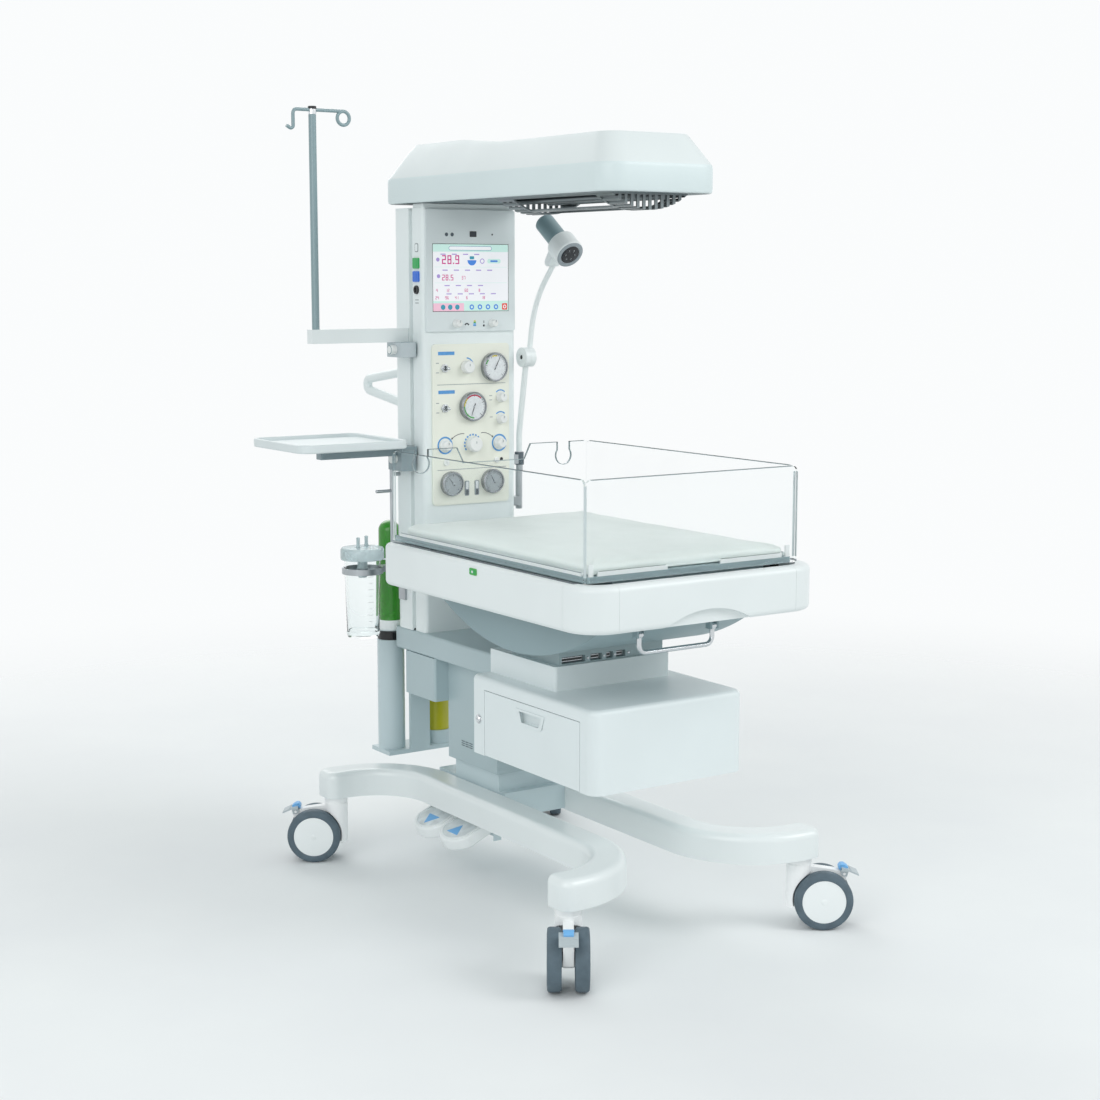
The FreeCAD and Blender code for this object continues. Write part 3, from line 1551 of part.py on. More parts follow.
def make_heater_unit():
    """Heater guard: a shallow trough with slatted ends and two long bars, with the heating rods in it."""
    bow = arc_radius(d.heater_half_x, d.heater_depth)
    axis_z = d.hood_bottom - d.heater_depth + bow
    skin = d.heater_skin
    outer_bar = cylinder("guard_outer", "y", bow, d.heater_front, d.heater_rear, 0, axis_z)
    inner_bar = cylinder(
        "guard_inner", "y", bow - skin, d.heater_front + skin, d.heater_rear - skin, 0, axis_z
    )
    below = box(
        "guard_below",
        -d.heater_half_x,
        d.heater_half_x,
        d.heater_front,
        d.heater_rear,
        d.hood_bottom - d.heater_depth - 1,
        d.hood_bottom,
    )
    trough = common("guard_trough", cut("guard_skin", outer_bar, inner_bar), below)
    low = d.hood_bottom - d.heater_depth - 2
    high = d.hood_bottom - d.heater_lip
    openings = []
    span = d.heater_slot_pitch * (d.heater_slot_count - 1)
    for i in range(int(float(d.heater_slot_count))):
        x = d.heater_slot_pitch * i - span / 2 - d.heater_slot / 2
        for end, start, stop in (
            ("front", d.heater_front - 1, d.heater_front + d.heater_cap),
            ("rear", d.heater_rear - d.heater_cap, d.heater_rear + 1),
        ):
            openings.append(box(f"guard_slot_{end}_{i}", x, x + d.heater_slot, start, stop, low, high))
    bar = d.heater_bar_width / 2
    for name, x0, x1 in (
        ("left", -d.heater_half_x, -d.heater_bar_x - bar),
        ("middle", -d.heater_bar_x + bar, d.heater_bar_x - bar),
        ("right", d.heater_bar_x + bar, d.heater_half_x),
    ):
        openings.append(
            box(
                f"guard_window_{name}",
                x0,
                x1,
                d.heater_front + d.heater_cap + d.heater_lip,
                d.heater_rear - d.heater_cap - d.heater_lip,
                low,
                high,
            )
        )
    guard = cut("heater_guard", trough, *openings)
    rods = [
        cylinder(
            f"heater_rod_{name}",
            "y",
            d.heater_rod_radius,
            d.heater_front + skin + d.seat_gap,
            d.heater_rear - skin - d.seat_gap,
            x,
            d.hood_bottom - d.heater_rod_radius - 1,
        )
        for name, x in (("left", -d.heater_bar_x), ("right", d.heater_bar_x))
    ]
    return node(group("heater_unit", guard, *rods), "heater_unit")


# accessories on the rails

def rail_clamp(name, low, high):
    """A clamp block on the left rail: block, tongue in the groove and a hand knob."""
    left = -d.cover_half_x - d.seat_gap
    block = box(f"{name}_block", left - d.clamp_width, left, d.clamp_front, d.clamp_rear, low, high)
    tongue = box(
        f"{name}_tongue",
        left,
        left + d.tongue_depth,
        d.rail_front + d.slide_gap,
        d.rail_rear - d.slide_gap,
        low,
        high,
    )
    knob = cylinder(
        f"{name}_knob",
        "x",
        d.clamp_knob_radius,
        left - d.clamp_width - d.clamp_knob_length,
        left - d.clamp_width,
        (d.clamp_front + d.clamp_rear) / 2 - 6,
        (low + high) / 2,
    )
    return [block, tongue, knob]


def make_shelf():
    """Instrument shelf: a tray with a raised lip and rounded corners on an arm with a rail clamp."""
    tray = new_body("shelf_tray")
    outline = rect(d.shelf_left, d.shelf_right, d.shelf_front, d.shelf_rear)
    plate = pad(tray, "z", outline, shelf_bottom, d.shelf_top)
    corners = round_edges(tray, plate, d.shelf_round, lambda e: is_along(e, UP))
    round_edges(
        tray,
        corners,
        d.shelf_thickness * 0.3,
        lambda e: lies_at(e, "z", shelf_bottom),
    )
    lip = d.shelf_lip
    inside = round_rect(
        d.shelf_left + lip,
        d.shelf_right - lip,
        d.shelf_front + lip,
        d.shelf_rear - lip,
        d.shelf_round - lip,
    )
    pocket(tray, "z", inside, d.shelf_top - d.shelf_recess, d.shelf_top)
    middle = (d.clamp_front + d.clamp_rear) / 2
    arm = box(
        "shelf_arm",
        d.shelf_left + 60,
        -d.cover_half_x - d.clamp_width,
        middle - 12,
        middle + 12,
        shelf_bottom - 18,
        shelf_bottom + 2,
    )
    clamp = rail_clamp("shelf_clamp", d.clamp_bottom, shelf_bottom)
    return node(fuse("shelf", tray, arm, *clamp), "shelf")


def make_iv_pole():
    """Infusion pole: a clamp and an arm on the rail, an upright pole, a hook and a ring at its top."""
    arm = box(
        "iv_arm",
        d.iv_arm_left,
        -d.cover_half_x - d.seat_gap,
        d.iv_arm_y - 11,
        d.iv_arm_y + 11,
        d.iv_arm_bottom,
        d.iv_arm_bottom + d.iv_arm_height,
    )
    clamp = rail_clamp("iv_clamp", d.iv_clamp_bottom, d.iv_arm_bottom)
    pole = cylinder(
        "iv_bar", "z", d.iv_pole_radius, d.iv_arm_bottom + 4, d.iv_pole_top, d.iv_pole_x, d.iv_arm_y
    )
    top = d.iv_pole_top - d.iv_hook_radius * 2
    bar = tube(
        "iv_hook_bar",
        [
            (d.iv_hook_left, d.iv_arm_y, top - d.iv_hook_drop),
            (d.iv_hook_left, d.iv_arm_y, top),
            (d.iv_hook_right + d.iv_ring_radius, d.iv_arm_y, top),
        ],
        9,
        d.iv_hook_radius,
    )
    tip = tube(
        "iv_hook_tip",
        [
            (d.iv_hook_left, d.iv_arm_y, top - d.iv_hook_drop * 0.7),
            (d.iv_hook_left, d.iv_arm_y, top - d.iv_hook_drop - 6),
            (d.iv_hook_left - 16, d.iv_arm_y, top - d.iv_hook_drop + 4),
        ],
        6,
        d.iv_hook_radius,
    )
    ring = doc.addObject("Part::Torus", "iv_ring")
    ring.setExpression("Radius1", d.iv_ring_radius.text)
    ring.setExpression("Radius2", d.iv_hook_radius.text)
    ring.Placement = Placement(Vector(), Rotation(Vector(1, 0, 0), 90))
    place(ring, d.iv_hook_right + d.iv_ring_radius, d.iv_arm_y, top - d.iv_ring_radius)
    return node(fuse("iv_pole", arm, *clamp, pole, bar, tip, ring), "iv_pole")


# bed

def make_bed_rim():
    """Bed rim: a frame with large front corners, cut by seams into front panel, corner caps and apron."""
    body = new_body("rim_frame")
    outside = rect(-d.bed_half_x, d.bed_half_x, d.bed_front, d.bed_rear)
    block = pad(body, "z", outside, d.rim_bottom, d.rim_top)
    fronts = round_edges(
        body, block, d.rim_front_round, lambda e: is_along(e, UP) and lies_at(e, "y", d.bed_front)
    )
    rears = round_edges(
        body, fronts, d.rim_rear_round, lambda e: is_along(e, UP) and lies_at(e, "y", d.bed_rear)
    )
    round_edges(
        body,
        rears,
        d.rim_edge_round,
        lambda e: lies_at(e, "z", d.rim_top) or lies_at(e, "z", d.rim_bottom),
    )
    w = d.rim_width
    inner_front = d.bed_front + w
    inner_rear = d.bed_rear - w
    round_in = d.rim_front_round - w
    inside = [
        (-rim_inner_x, inner_rear),
        (-rim_inner_x, inner_front + round_in),
        (-rim_inner_x + round_in, inner_front, round_in, -1),
        (rim_inner_x - round_in, inner_front),
        (rim_inner_x, inner_front + round_in, round_in, -1),
        (rim_inner_x, inner_rear),
    ]
    pocket(body, "z", inside, d.rim_bottom, d.rim_top)
    rise = d.grip_height
    grip_radius = arc_radius(d.grip_half_width, rise)
    grip = [
        (d.grip_half_width, d.rim_bottom),
        (0, d.rim_bottom + rise, grip_radius, -1),
        (-d.grip_half_width, d.rim_bottom, grip_radius, -1),
    ]
    pocket(body, "y", grip, d.bed_front, d.bed_front + d.grip_depth)
    seams = []
    half = d.rim_seam / 2
    side_seam = d.bed_front + d.rim_front_round + 6
    front_seam = d.bed_half_x - d.rim_front_round - 2
    for name, side in (("left", -1), ("right", 1)):
        x0 = rim_inner_x * side
        x1 = d.bed_half_x * side
        low_x, high_x = (x1 - 1, x0 + 1) if side < 0 else (x0 - 1, x1 + 1)
        seams.append(
            box(
                f"rim_side_seam_{name}",
                low_x,
                high_x,
                side_seam - half,
                side_seam + half,
                d.rim_bottom - 1,
                d.rim_top + 1,
            )
        )
        middle = front_seam * side
        seams.append(
            box(
                f"rim_front_seam_{name}",
                middle - half,
                middle + half,
                d.bed_front - 1,
                inner_front + 1,
                d.rim_bottom - 1,
                d.rim_top + 1,
            )
        )
    return node(cut("bed_rim", body, *seams), "bed_rim")


def rocker_level(y, radius):
    """Height of the rocker's arc at a place along Y."""
    run = float(y) - float(d.tilt_y)
    value = float(tilt_z) - math.sqrt(float(radius) ** 2 - run * run)
    size_y = size_of(y)
    text = f"({tilt_z.text} - sqrt(({radius.text}) ^ 2 - (({size_y.text}) - Dims.tilt_y) ^ 2))"
    return Size(value, text)


def make_bed_pan():
    """Bed pan: a hollow rocker with a flange to the rim, and the deck plate on top of it."""
    rocker = new_body("rocker")
    r = d.rocker_radius
    skin = d.rocker_skin

    def profile(front, rear, radius, top):
        return [
            (front, top),
            (front, rocker_level(front, radius)),
            (rear, rocker_level(rear, radius), radius, -1),
            (rear, top),
        ]

    belly = profile(d.rocker_front, d.rocker_rear, r, deck_bottom)
    pad(rocker, "x", belly, -d.rocker_half_x, d.rocker_half_x)
    flange = rect(-rim_inner_x, rim_inner_x, d.bed_front + d.rim_width, d.bed_rear - d.rim_width)
    corner = d.rim_front_round - d.rim_width + 2
    flange_top = d.flange_bottom + d.flange_thickness
    plate = new_body("flange_plate")
    flange_pad = pad(plate, "z", flange, d.flange_bottom, flange_top)
    round_edges(
        plate, flange_pad, corner, lambda e: is_along(e, UP) and e.BoundBox.YMax < 0
    )
    hollow = new_body("rocker_hollow")
    inner = profile(d.rocker_front + skin, d.rocker_rear - skin, r - skin, deck_bottom)
    pad(hollow, "x", inner, skin - d.rocker_half_x, d.rocker_half_x - skin)
    lugs = []
    eye_half = d.tilt_handle_radius + d.rim_seam + d.seat_gap
    for name, side in (("left", -1), ("right", 1)):
        near = (d.tilt_handle_half_x - eye_half) * side
        far = (d.tilt_handle_half_x + eye_half) * side
        ends = {"inner": (near - d.tilt_lug * side, near), "outer": (far, far + d.tilt_lug * side)}
        for place_name, (a, b) in ends.items():
            low, high = (a, b) if float(a) < float(b) else (b, a)
            lugs.append(
                box(
                    f"tilt_lug_{name}_{place_name}",
                    low,
                    high,
                    d.tilt_handle_y - d.tilt_handle_eye,
                    d.tilt_handle_y + d.tilt_handle_eye,
                    d.tilt_handle_pin_z - d.tilt_pin_radius * 2,
                    d.flange_bottom,
                )
            )
        low, high = (far, near) if side < 0 else (near, far)
        lugs.append(
            cylinder(
                f"tilt_pin_{name}",
                "x",
                d.tilt_pin_radius,
                low,
                high,
                d.tilt_handle_y,
                d.tilt_handle_pin_z,
            )
        )
    pan = cut("rocker_pan", fuse("rocker_solid", rocker, plate, *lugs), hollow)
    deck = new_body("deck")
    slab = pad(
        deck, "z", rect(-deck_half_x, deck_half_x, deck_front, deck_rear), deck_bottom, deck_top
    )
    round_edges(deck, slab, 8, lambda e: is_along(e, UP) and e.BoundBox.YMax < 0)
    return node(group("bed_pan", pan, deck), "bed_pan")


def make_mattress():
    """Mattress: a pad with a low crown, soft edges and sides drawn in between the corners."""
    def section(inset, z):
        """One level of the pad: four arcs that pull in between rounded corners."""
        half_x = float(d.mattress_half_x) - inset
        half_y = float(d.mattress_half_y) - inset
        draw = float(d.mattress_draw)
        middle_y = float(d.tilt_y)
        corners = [(-1, -1), (1, -1), (1, 1), (-1, 1)]
        points = [Vector(half_x * sx, middle_y + half_y * sy, z) for sx, sy in corners]
        edges = []
        for i, point in enumerate(points):
            after = points[(i + 1) % 4]
            inward = (Vector(0, middle_y, z) - (point + after) * 0.5).normalize()
            edges.append(Part.Arc(point, (point + after) * 0.5 + inward * draw, after).toShape())
        return Part.Wire(edges)

    low = float(deck_top) + float(d.seat_gap)
    thick = float(d.mattress_thickness)
    crown = float(d.mattress_crown)
    levels = [
        (5, low),
        (0, low + thick * 0.3),
        (0, low + thick * 0.65),
        (5, low + thick * 0.9),
        (14, low + thick),
        (90, low + thick + crown),
    ]
    feature = doc.addObject("Part::Feature", "mattress")
    feature.Shape = Part.makeLoft([section(inset, z) for inset, z in levels], True, True)
    return node(feature, "mattress")


def make_side_wall(label, side):
    """A clear side wall that hinges on the round bead along its lower edge."""
    body = new_body(f"{label}_sheet")
    x = d.wall_half_x * side
    half = d.wall_thickness / 2
    front = d.wall_front + d.bead_radius + d.wall_gap
    rear = d.wall_rear + half
    sheet_body = pad(body, "x", rect(front, rear, bead_z, d.wall_top), x - half, x + half)
    round_edges(
        body,
        sheet_body,
        d.wall_round,
        lambda e: is_along(e, Vector(1, 0, 0)) and lies_at(e, "z", d.wall_top),
    )
    bead = cylinder(f"{label}_bead", "y", d.bead_radius, front, rear, x, bead_z)
    return node(fuse(label, body, bead), label)


def make_front_wall():
    """The clear front wall, hinged like the side walls."""
    body = new_body("front_wall_sheet")
    half = d.wall_thickness / 2
    edge = d.wall_half_x + half
    sheet_body = pad(
        body, "y", rect(-edge, edge, bead_z, d.wall_top), d.wall_front - half, d.wall_front + half
    )
    round_edges(
        body,
        sheet_body,
        d.wall_round,
        lambda e: is_along(e, Vector(0, 1, 0)) and lies_at(e, "z", d.wall_top),
    )
    bead = cylinder("front_wall_bead", "x", d.bead_radius, -edge, edge, d.wall_front, bead_z)
    return node(fuse("front_wall", body, bead), "front_wall")


def make_rear_wall():
    """The fixed clear rear wall: a tall tab with a keyhole notch at each side and a low middle."""
    body = new_body("rear_wall_sheet")
    half = d.wall_thickness / 2
    edge = d.wall_half_x - half - d.wall_gap
    low_top = d.wall_top - d.tab_drop
    slope_x = d.tab_inner_x - d.tab_slope
    outline = [
        (-edge, deck_top),
        (edge, deck_top),
        (edge, d.wall_top),
        (d.tab_inner_x, d.wall_top),
        (slope_x, low_top),
        (-slope_x, low_top),
        (-d.tab_inner_x, d.wall_top),
        (-edge, d.wall_top),
    ]
    pad(body, "y", outline, d.wall_rear - half, d.wall_rear + half)
    centre_z = d.wall_top - d.notch_drop
    neck = d.notch_radius * 0.8
    for side in (-1, 1):
        x = d.notch_x * side
        pocket(body, "y", Circle(x, centre_z, d.notch_radius), d.wall_rear - half, d.wall_rear + half)
        throat = rect(x - neck, x + neck, centre_z, d.wall_top)
        pocket(body, "y", throat, d.wall_rear - half, d.wall_rear + half)
    return node(body, "rear_wall")


def make_tilt_handle():
    """Chrome tilt handle: a bent bar with a pivot eye at each end, under the foot of the bed."""
    y = d.tilt_handle_y
    x = d.tilt_handle_half_x
    bar = tube(
        "tilt_bar",
        [
            (-x, y, d.tilt_handle_pin_z),
            (-x, y, d.tilt_handle_bottom),
            (x, y, d.tilt_handle_bottom),
            (x, y, d.tilt_handle_pin_z),
        ],
        d.tilt_handle_bend,
        d.tilt_handle_radius,
    )
    half = d.tilt_handle_radius + d.rim_seam
    eyes = []
    for name, side in (("left", -1), ("right", 1)):
        middle = x * side
        low = middle - half
        high = middle + half
        eyes.append(cylinder(f"tilt_eye_{name}", "x", d.tilt_handle_eye, low, high, y, d.tilt_handle_pin_z))
    bore = cylinder(
        "tilt_bore", "x", d.tilt_pin_radius + d.shaft_gap, -x * 2, x * 2, y, d.tilt_handle_pin_z
    )
    return node(cut("tilt_handle", fuse("tilt_loop", bar, *eyes), bore), "tilt_handle")


def make_all():
    make_base_beam()
    make_leg("left_leg", -1)
    make_leg("right_leg", 1)
    step = d.pedal_width + d.pedal_ear + d.seat_gap * 2
    make_pedal("raise_pedal", d.pedal_front)
    make_pedal("lower_pedal", d.pedal_front + step)
    for corner in CASTER_TURN:
        make_fork(corner)
        make_wheels(corner)
        make_brake(corner)
    make_lift_housing()
    make_chassis()
    make_column()
    make_rear_cover()
    make_control_panel()
    make_screen()
    make_gas_panel()
    make_gauges()
    for label, (x, z) in GAS_KNOBS.items():
        make_knob(label, x, z, d.gas_knob_radius, d.gas_face)
    for label, (x, z) in RING_KNOBS.items():
        make_knob(label, x, z, d.ring_knob_radius, d.gas_face)
    for label, (x, z) in MENU_KNOBS.items():
        make_knob(label, x, z, d.menu_knob_radius, d.panel_face)
    for label, (x, z) in TOGGLES.items():
        make_toggle(label, x, z)
    make_grab_handles()
    make_cabinet()
    make_drawer()
    make_drawer_lock()
    make_port_block()
    make_cylinder_cradle()
    make_gas_cylinders()
    make_suction_jar()
    make_accessory_rod()
    make_lamp_post()
    make_lamp_pole()
    make_lamp_arm()
    make_lamp_head()
    make_hood()
    make_heater_unit()
    make_shelf()
    make_iv_pole()
    make_bed_rim()
    make_bed_pan()
    make_mattress()
    make_side_wall("left_wall", -1)
    make_side_wall("right_wall", 1)
    make_front_wall()
    make_rear_wall()
    make_tilt_handle()


def write_parts():
    """Check every object and every finished piece, then write one file per piece."""
    doc.recompute()
    failed = [o.Name for o in doc.Objects if "Invalid" in o.State or "Error" in o.State]
    for piece in NODES:
        if piece.Shape.isNull() or not piece.Shape.isValid() or not piece.Shape.Solids:
            failed.append(piece.Label)
    if failed:
        raise RuntimeError("these objects failed: " + ", ".join(failed))
    os.makedirs("parts", exist_ok=True)
    for piece in NODES:
        piece.Shape.exportStep(f"parts/{piece.Label}.step")
        print(f"{piece.Label}: {len(piece.Shape.Solids)} solids, {piece.Shape.Volume / 1000:.1f} cm3")


make_all()
write_parts()
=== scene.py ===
"""Looks of the infant radiant warmer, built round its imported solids. Places are in mm of its frame."""

import json
import math

import bmesh
import bpy
from mathutils import Matrix, Vector, noise


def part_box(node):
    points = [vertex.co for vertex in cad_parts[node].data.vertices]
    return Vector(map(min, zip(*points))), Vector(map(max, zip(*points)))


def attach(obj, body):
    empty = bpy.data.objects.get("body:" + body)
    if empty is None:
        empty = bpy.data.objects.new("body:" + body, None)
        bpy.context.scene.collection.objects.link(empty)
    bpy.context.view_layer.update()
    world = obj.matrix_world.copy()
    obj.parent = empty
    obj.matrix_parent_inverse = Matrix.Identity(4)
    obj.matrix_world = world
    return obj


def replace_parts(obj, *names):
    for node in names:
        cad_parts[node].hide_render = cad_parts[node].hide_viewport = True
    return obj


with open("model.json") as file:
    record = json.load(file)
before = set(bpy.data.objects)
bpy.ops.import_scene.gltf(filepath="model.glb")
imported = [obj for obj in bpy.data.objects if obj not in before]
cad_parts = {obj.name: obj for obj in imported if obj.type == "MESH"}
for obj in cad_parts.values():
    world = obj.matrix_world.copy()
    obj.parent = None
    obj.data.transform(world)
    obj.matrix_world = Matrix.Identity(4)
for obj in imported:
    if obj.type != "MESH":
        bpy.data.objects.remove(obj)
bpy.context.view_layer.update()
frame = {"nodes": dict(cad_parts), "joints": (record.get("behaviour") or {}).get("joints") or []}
NODES = frame["nodes"]
MM = 0.001
CORNERS = ("front_left", "front_right", "rear_left", "rear_right")
JOINTS = {joint["name"]: joint for joint in frame["joints"]}

# Places and spans that the solids don't give
SHARP_ANGLE, SAME_POINT = 40, 1e-7
DECK_TOP, WALL_FOOT, GROOVE_FLOOR = 797.7, 798, 760
# RIM_SHADE_STRIP: span on the rim's top of a dark band that paints the shade of a channel
HINGE_STRIP, VENT_GROOVE, RIM_SHADE_STRIP = (249.5, 256.8), (258.5, 267.8), (269.8, 281)
LEVEL_Y, LEVEL_Z = -143, 769
GREEN_X, YELLOW_X, CYLINDER_Y = -120, 5, 530
JAR_PLACE, LAMP_POST, IV_POLE = (-235, 454), (148, 372), (-363, 420)
CLAMP = (-170.7, -130.6, 375.6, 440.4, 1)
CLAMP_KNOB_X, CLAMP_KNOB_Y = -186.3, 402
LOCK_Y, LOCK_Z = 9, 417
WHEEL_FACE = 41.5
PEDAL_LEVEL, PEDAL_ROOT, PEDAL_SLOPE = 138, -42, 24
LAMP_DROP = 35.6
HOOD_HALF, HOOD_FRONT, HOOD_REAR = 142.5, -392.7, 514.7
HOOD_BOTTOM, HOOD_SHOULDER, HOOD_CROWN = 1534, 1647, 1670


def box(node):
    """Lower and upper corner of a solid's box in millimetres."""
    return [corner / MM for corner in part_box(node)]


def pin_place(joint):
    """Place of a joint in millimetres."""
    return Vector(JOINTS[joint]["pos_m"]) / MM


def show(name, data):
    """A new object in the scene."""
    shown = bpy.data.objects.new(name, data)
    bpy.context.scene.collection.objects.link(shown)
    return shown


def srgb(*levels):
    """A colour given in screen levels from 0 to 255, as the linear values that shaders take."""
    linear = [(c / 255 / 12.92) if c <= 10 else ((c / 255 + 0.055) / 1.055) ** 2.4 for c in levels]
    return (*linear, 1.0)


# Materials

def set_inputs(node, values):
    """Plain values for a node's inputs, whose names take _ for a space."""
    for socket, value in values.items():
        node.inputs[socket.replace("_", " ")].default_value = value
    return node


class Finish:
    """A material's node tree, with the links that the finishes here share."""

    def __init__(self, name, **sockets):
        self.material = bpy.data.materials.new(name)
        self.material.use_nodes = True
        self.tree = self.material.node_tree
        self.shader = self.tree.nodes["Principled BSDF"]
        self.coords = self.tree.nodes.new("ShaderNodeTexCoord").outputs["Object"]
        set_inputs(self.shader, sockets)

    def link(self, source, target):
        self.tree.links.new(source, target)

    def node(self, kind, **values):
        """A new shader node with plain values in its inputs."""
        return set_inputs(self.tree.nodes.new(f"ShaderNode{kind}"), values)

    def noise(self, scale, detail=3.0, stretch=(1, 1, 1)):
        """Fine random texture in metres of the piece."""
        mapping = self.node("Mapping", Scale=stretch)
        self.link(self.coords, mapping.inputs["Vector"])
        texture = self.node("TexNoise", Scale=scale, Detail=detail)
        self.link(mapping.outputs["Vector"], texture.inputs["Vector"])
        return texture.outputs["Fac"]

    def colour(self, factor, *stops):
        """Base colour from a ramp of (place, colour) stops."""
        ramp = self.node("ValToRGB")
        elements = ramp.color_ramp.elements
        while len(elements) < len(stops):
            elements.new(0.5)
        for element, (place, colour) in zip(elements, stops):
            element.position = place
            element.color = colour
        self.link(factor, ramp.inputs["Fac"])
        self.link(ramp.outputs["Color"], self.shader.inputs["Base Color"])

    def mottle(self, factor, colour, dark, pale):
        """Base colour that wanders between a darker and a paler tint."""
        self.colour(factor, (0.3, tint(colour, dark)), (0.7, tint(colour, pale)))

    def rough(self, factor, low, high):
        spread = self.node("MapRange", From_Min=0.3, From_Max=0.7, To_Min=low, To_Max=high)
        self.link(factor, spread.inputs["Value"])
        self.link(spread.outputs["Result"], self.shader.inputs["Roughness"])

    def bump(self, height, depth, strength=0.5):
        node = self.node("Bump", Strength=strength, Distance=depth)
        self.link(height, node.inputs["Height"])
        self.link(node.outputs["Normal"], self.shader.inputs["Normal"])


def tint(colour, factor):
    """A colour made darker or paler."""
    return (*(min(c * factor, 1.0) for c in colour[:3]), 1.0)


GLOSS_COAT = {"Coat_Weight": 0.3, "Coat_Roughness": 0.2}
PRINT_FILM, DULL_SKIN = {"Specular_IOR_Level": 0.4}, {"Specular_IOR_Level": 0.35}
# Kinds of finish. Each has three noises of a scale and a detail: one for its colour with a darker and a
# paler factor, one for its gloss with what comes off the roughness and goes on to it, and one for its relief
# with a depth in metres and a strength. Plain inputs of the shader come last.
KINDS = {
    "moulded": ((5, 2, 0.98, 1.02), (14, 2, 0.02, 0.04), (500, 1, 0.00003, 0.12), {}),
    "coated": ((4, 2, 0.97, 1.02), (12, 2, 0.02, 0.04), (350, 1, 0.00004, 0.12), GLOSS_COAT),
    "printed": ((260, 3, 0.92, 1.06), (90, 3, 0.06, 0.08), (1500, 2, 0.00002, 0.5), PRINT_FILM),
    "rubber": ((40, 6, 0.85, 1.12), (60, 4, 0.09, 0.09), (1200, 3, 0.0001, 0.5), DULL_SKIN),
    "metal": ((14, 4, 0.93, 1.05), (180, 4, 0.07, 0.08), (700, 3, 0.00002, 0.5), {"Metallic": 1.0}),
}


def surface(kind, name, colour, rough, stretch=(1, 1, 1), depth=None, **sockets):
    """A material of one kind. Stretch draws its gloss and relief out into hairlines."""
    (scale, detail, dark, pale), gloss, relief, inputs = KINDS[kind]
    finish = Finish(name, **inputs, **sockets)
    finish.mottle(finish.noise(scale, detail), colour, dark, pale)
    finish.rough(finish.noise(*gloss[:2], stretch), rough - gloss[2], rough + gloss[3])
    finish.bump(finish.noise(*relief[:2], stretch), depth or relief[2], relief[3])
    return finish.material


def clear(name, colour, rough, ior, weight=1.0):
    """Clear polished plastic with the faintest smears."""
    finish = Finish(name, Transmission_Weight=weight, IOR=ior, Base_Color=colour)
    finish.rough(finish.noise(12, 3), rough, rough + 0.02)
    finish.bump(finish.noise(4, 1), 0.00002, 0.05)
    return finish.material


def lit(name, levels):
    """A patch of a lit display: fine pixel rows over an even glow."""
    colour = srgb(*levels)
    finish = Finish(name, Base_Color=tint(colour, 0.45), Roughness=0.25, Emission_Strength=0.55)
    finish.mottle(finish.noise(900, 1, (1, 0.1, 3)), colour, 0.46, 0.5)
    finish.shader.inputs["Emission Color"].default_value = colour
    return finish.material


def cover_cloth(name, levels):
    """Wipe-clean mattress cover: a fine knit under a soft coating, with long shallow creases."""
    colour = srgb(*levels)
    finish = Finish(name, Sheen_Weight=0.15, Sheen_Roughness=0.4, Specular_IOR_Level=0.35)
    tones = ((0.3, tint(colour, 0.93)), (0.5, colour), (0.75, tint(colour, 1.05)))
    finish.colour(finish.noise(5, 5, (1, 0.5, 1)), *tones)
    finish.rough(finish.noise(18, 4), 0.42, 0.58)
    weave = finish.node("TexWave", Scale=450, Distortion=1.5)
    finish.link(finish.coords, weave.inputs["Vector"])
    creases = finish.noise(7, 6, (0.55, 1.3, 1))
    total = finish.node("Math")
    total.operation = "MULTIPLY_ADD"
    total.inputs[1].default_value = 0.02
    finish.link(weave.outputs["Fac"], total.inputs[0])
    finish.link(creases, total.inputs[2])
    finish.bump(total.outputs["Value"], 0.006, 0.35)
    return finish.material


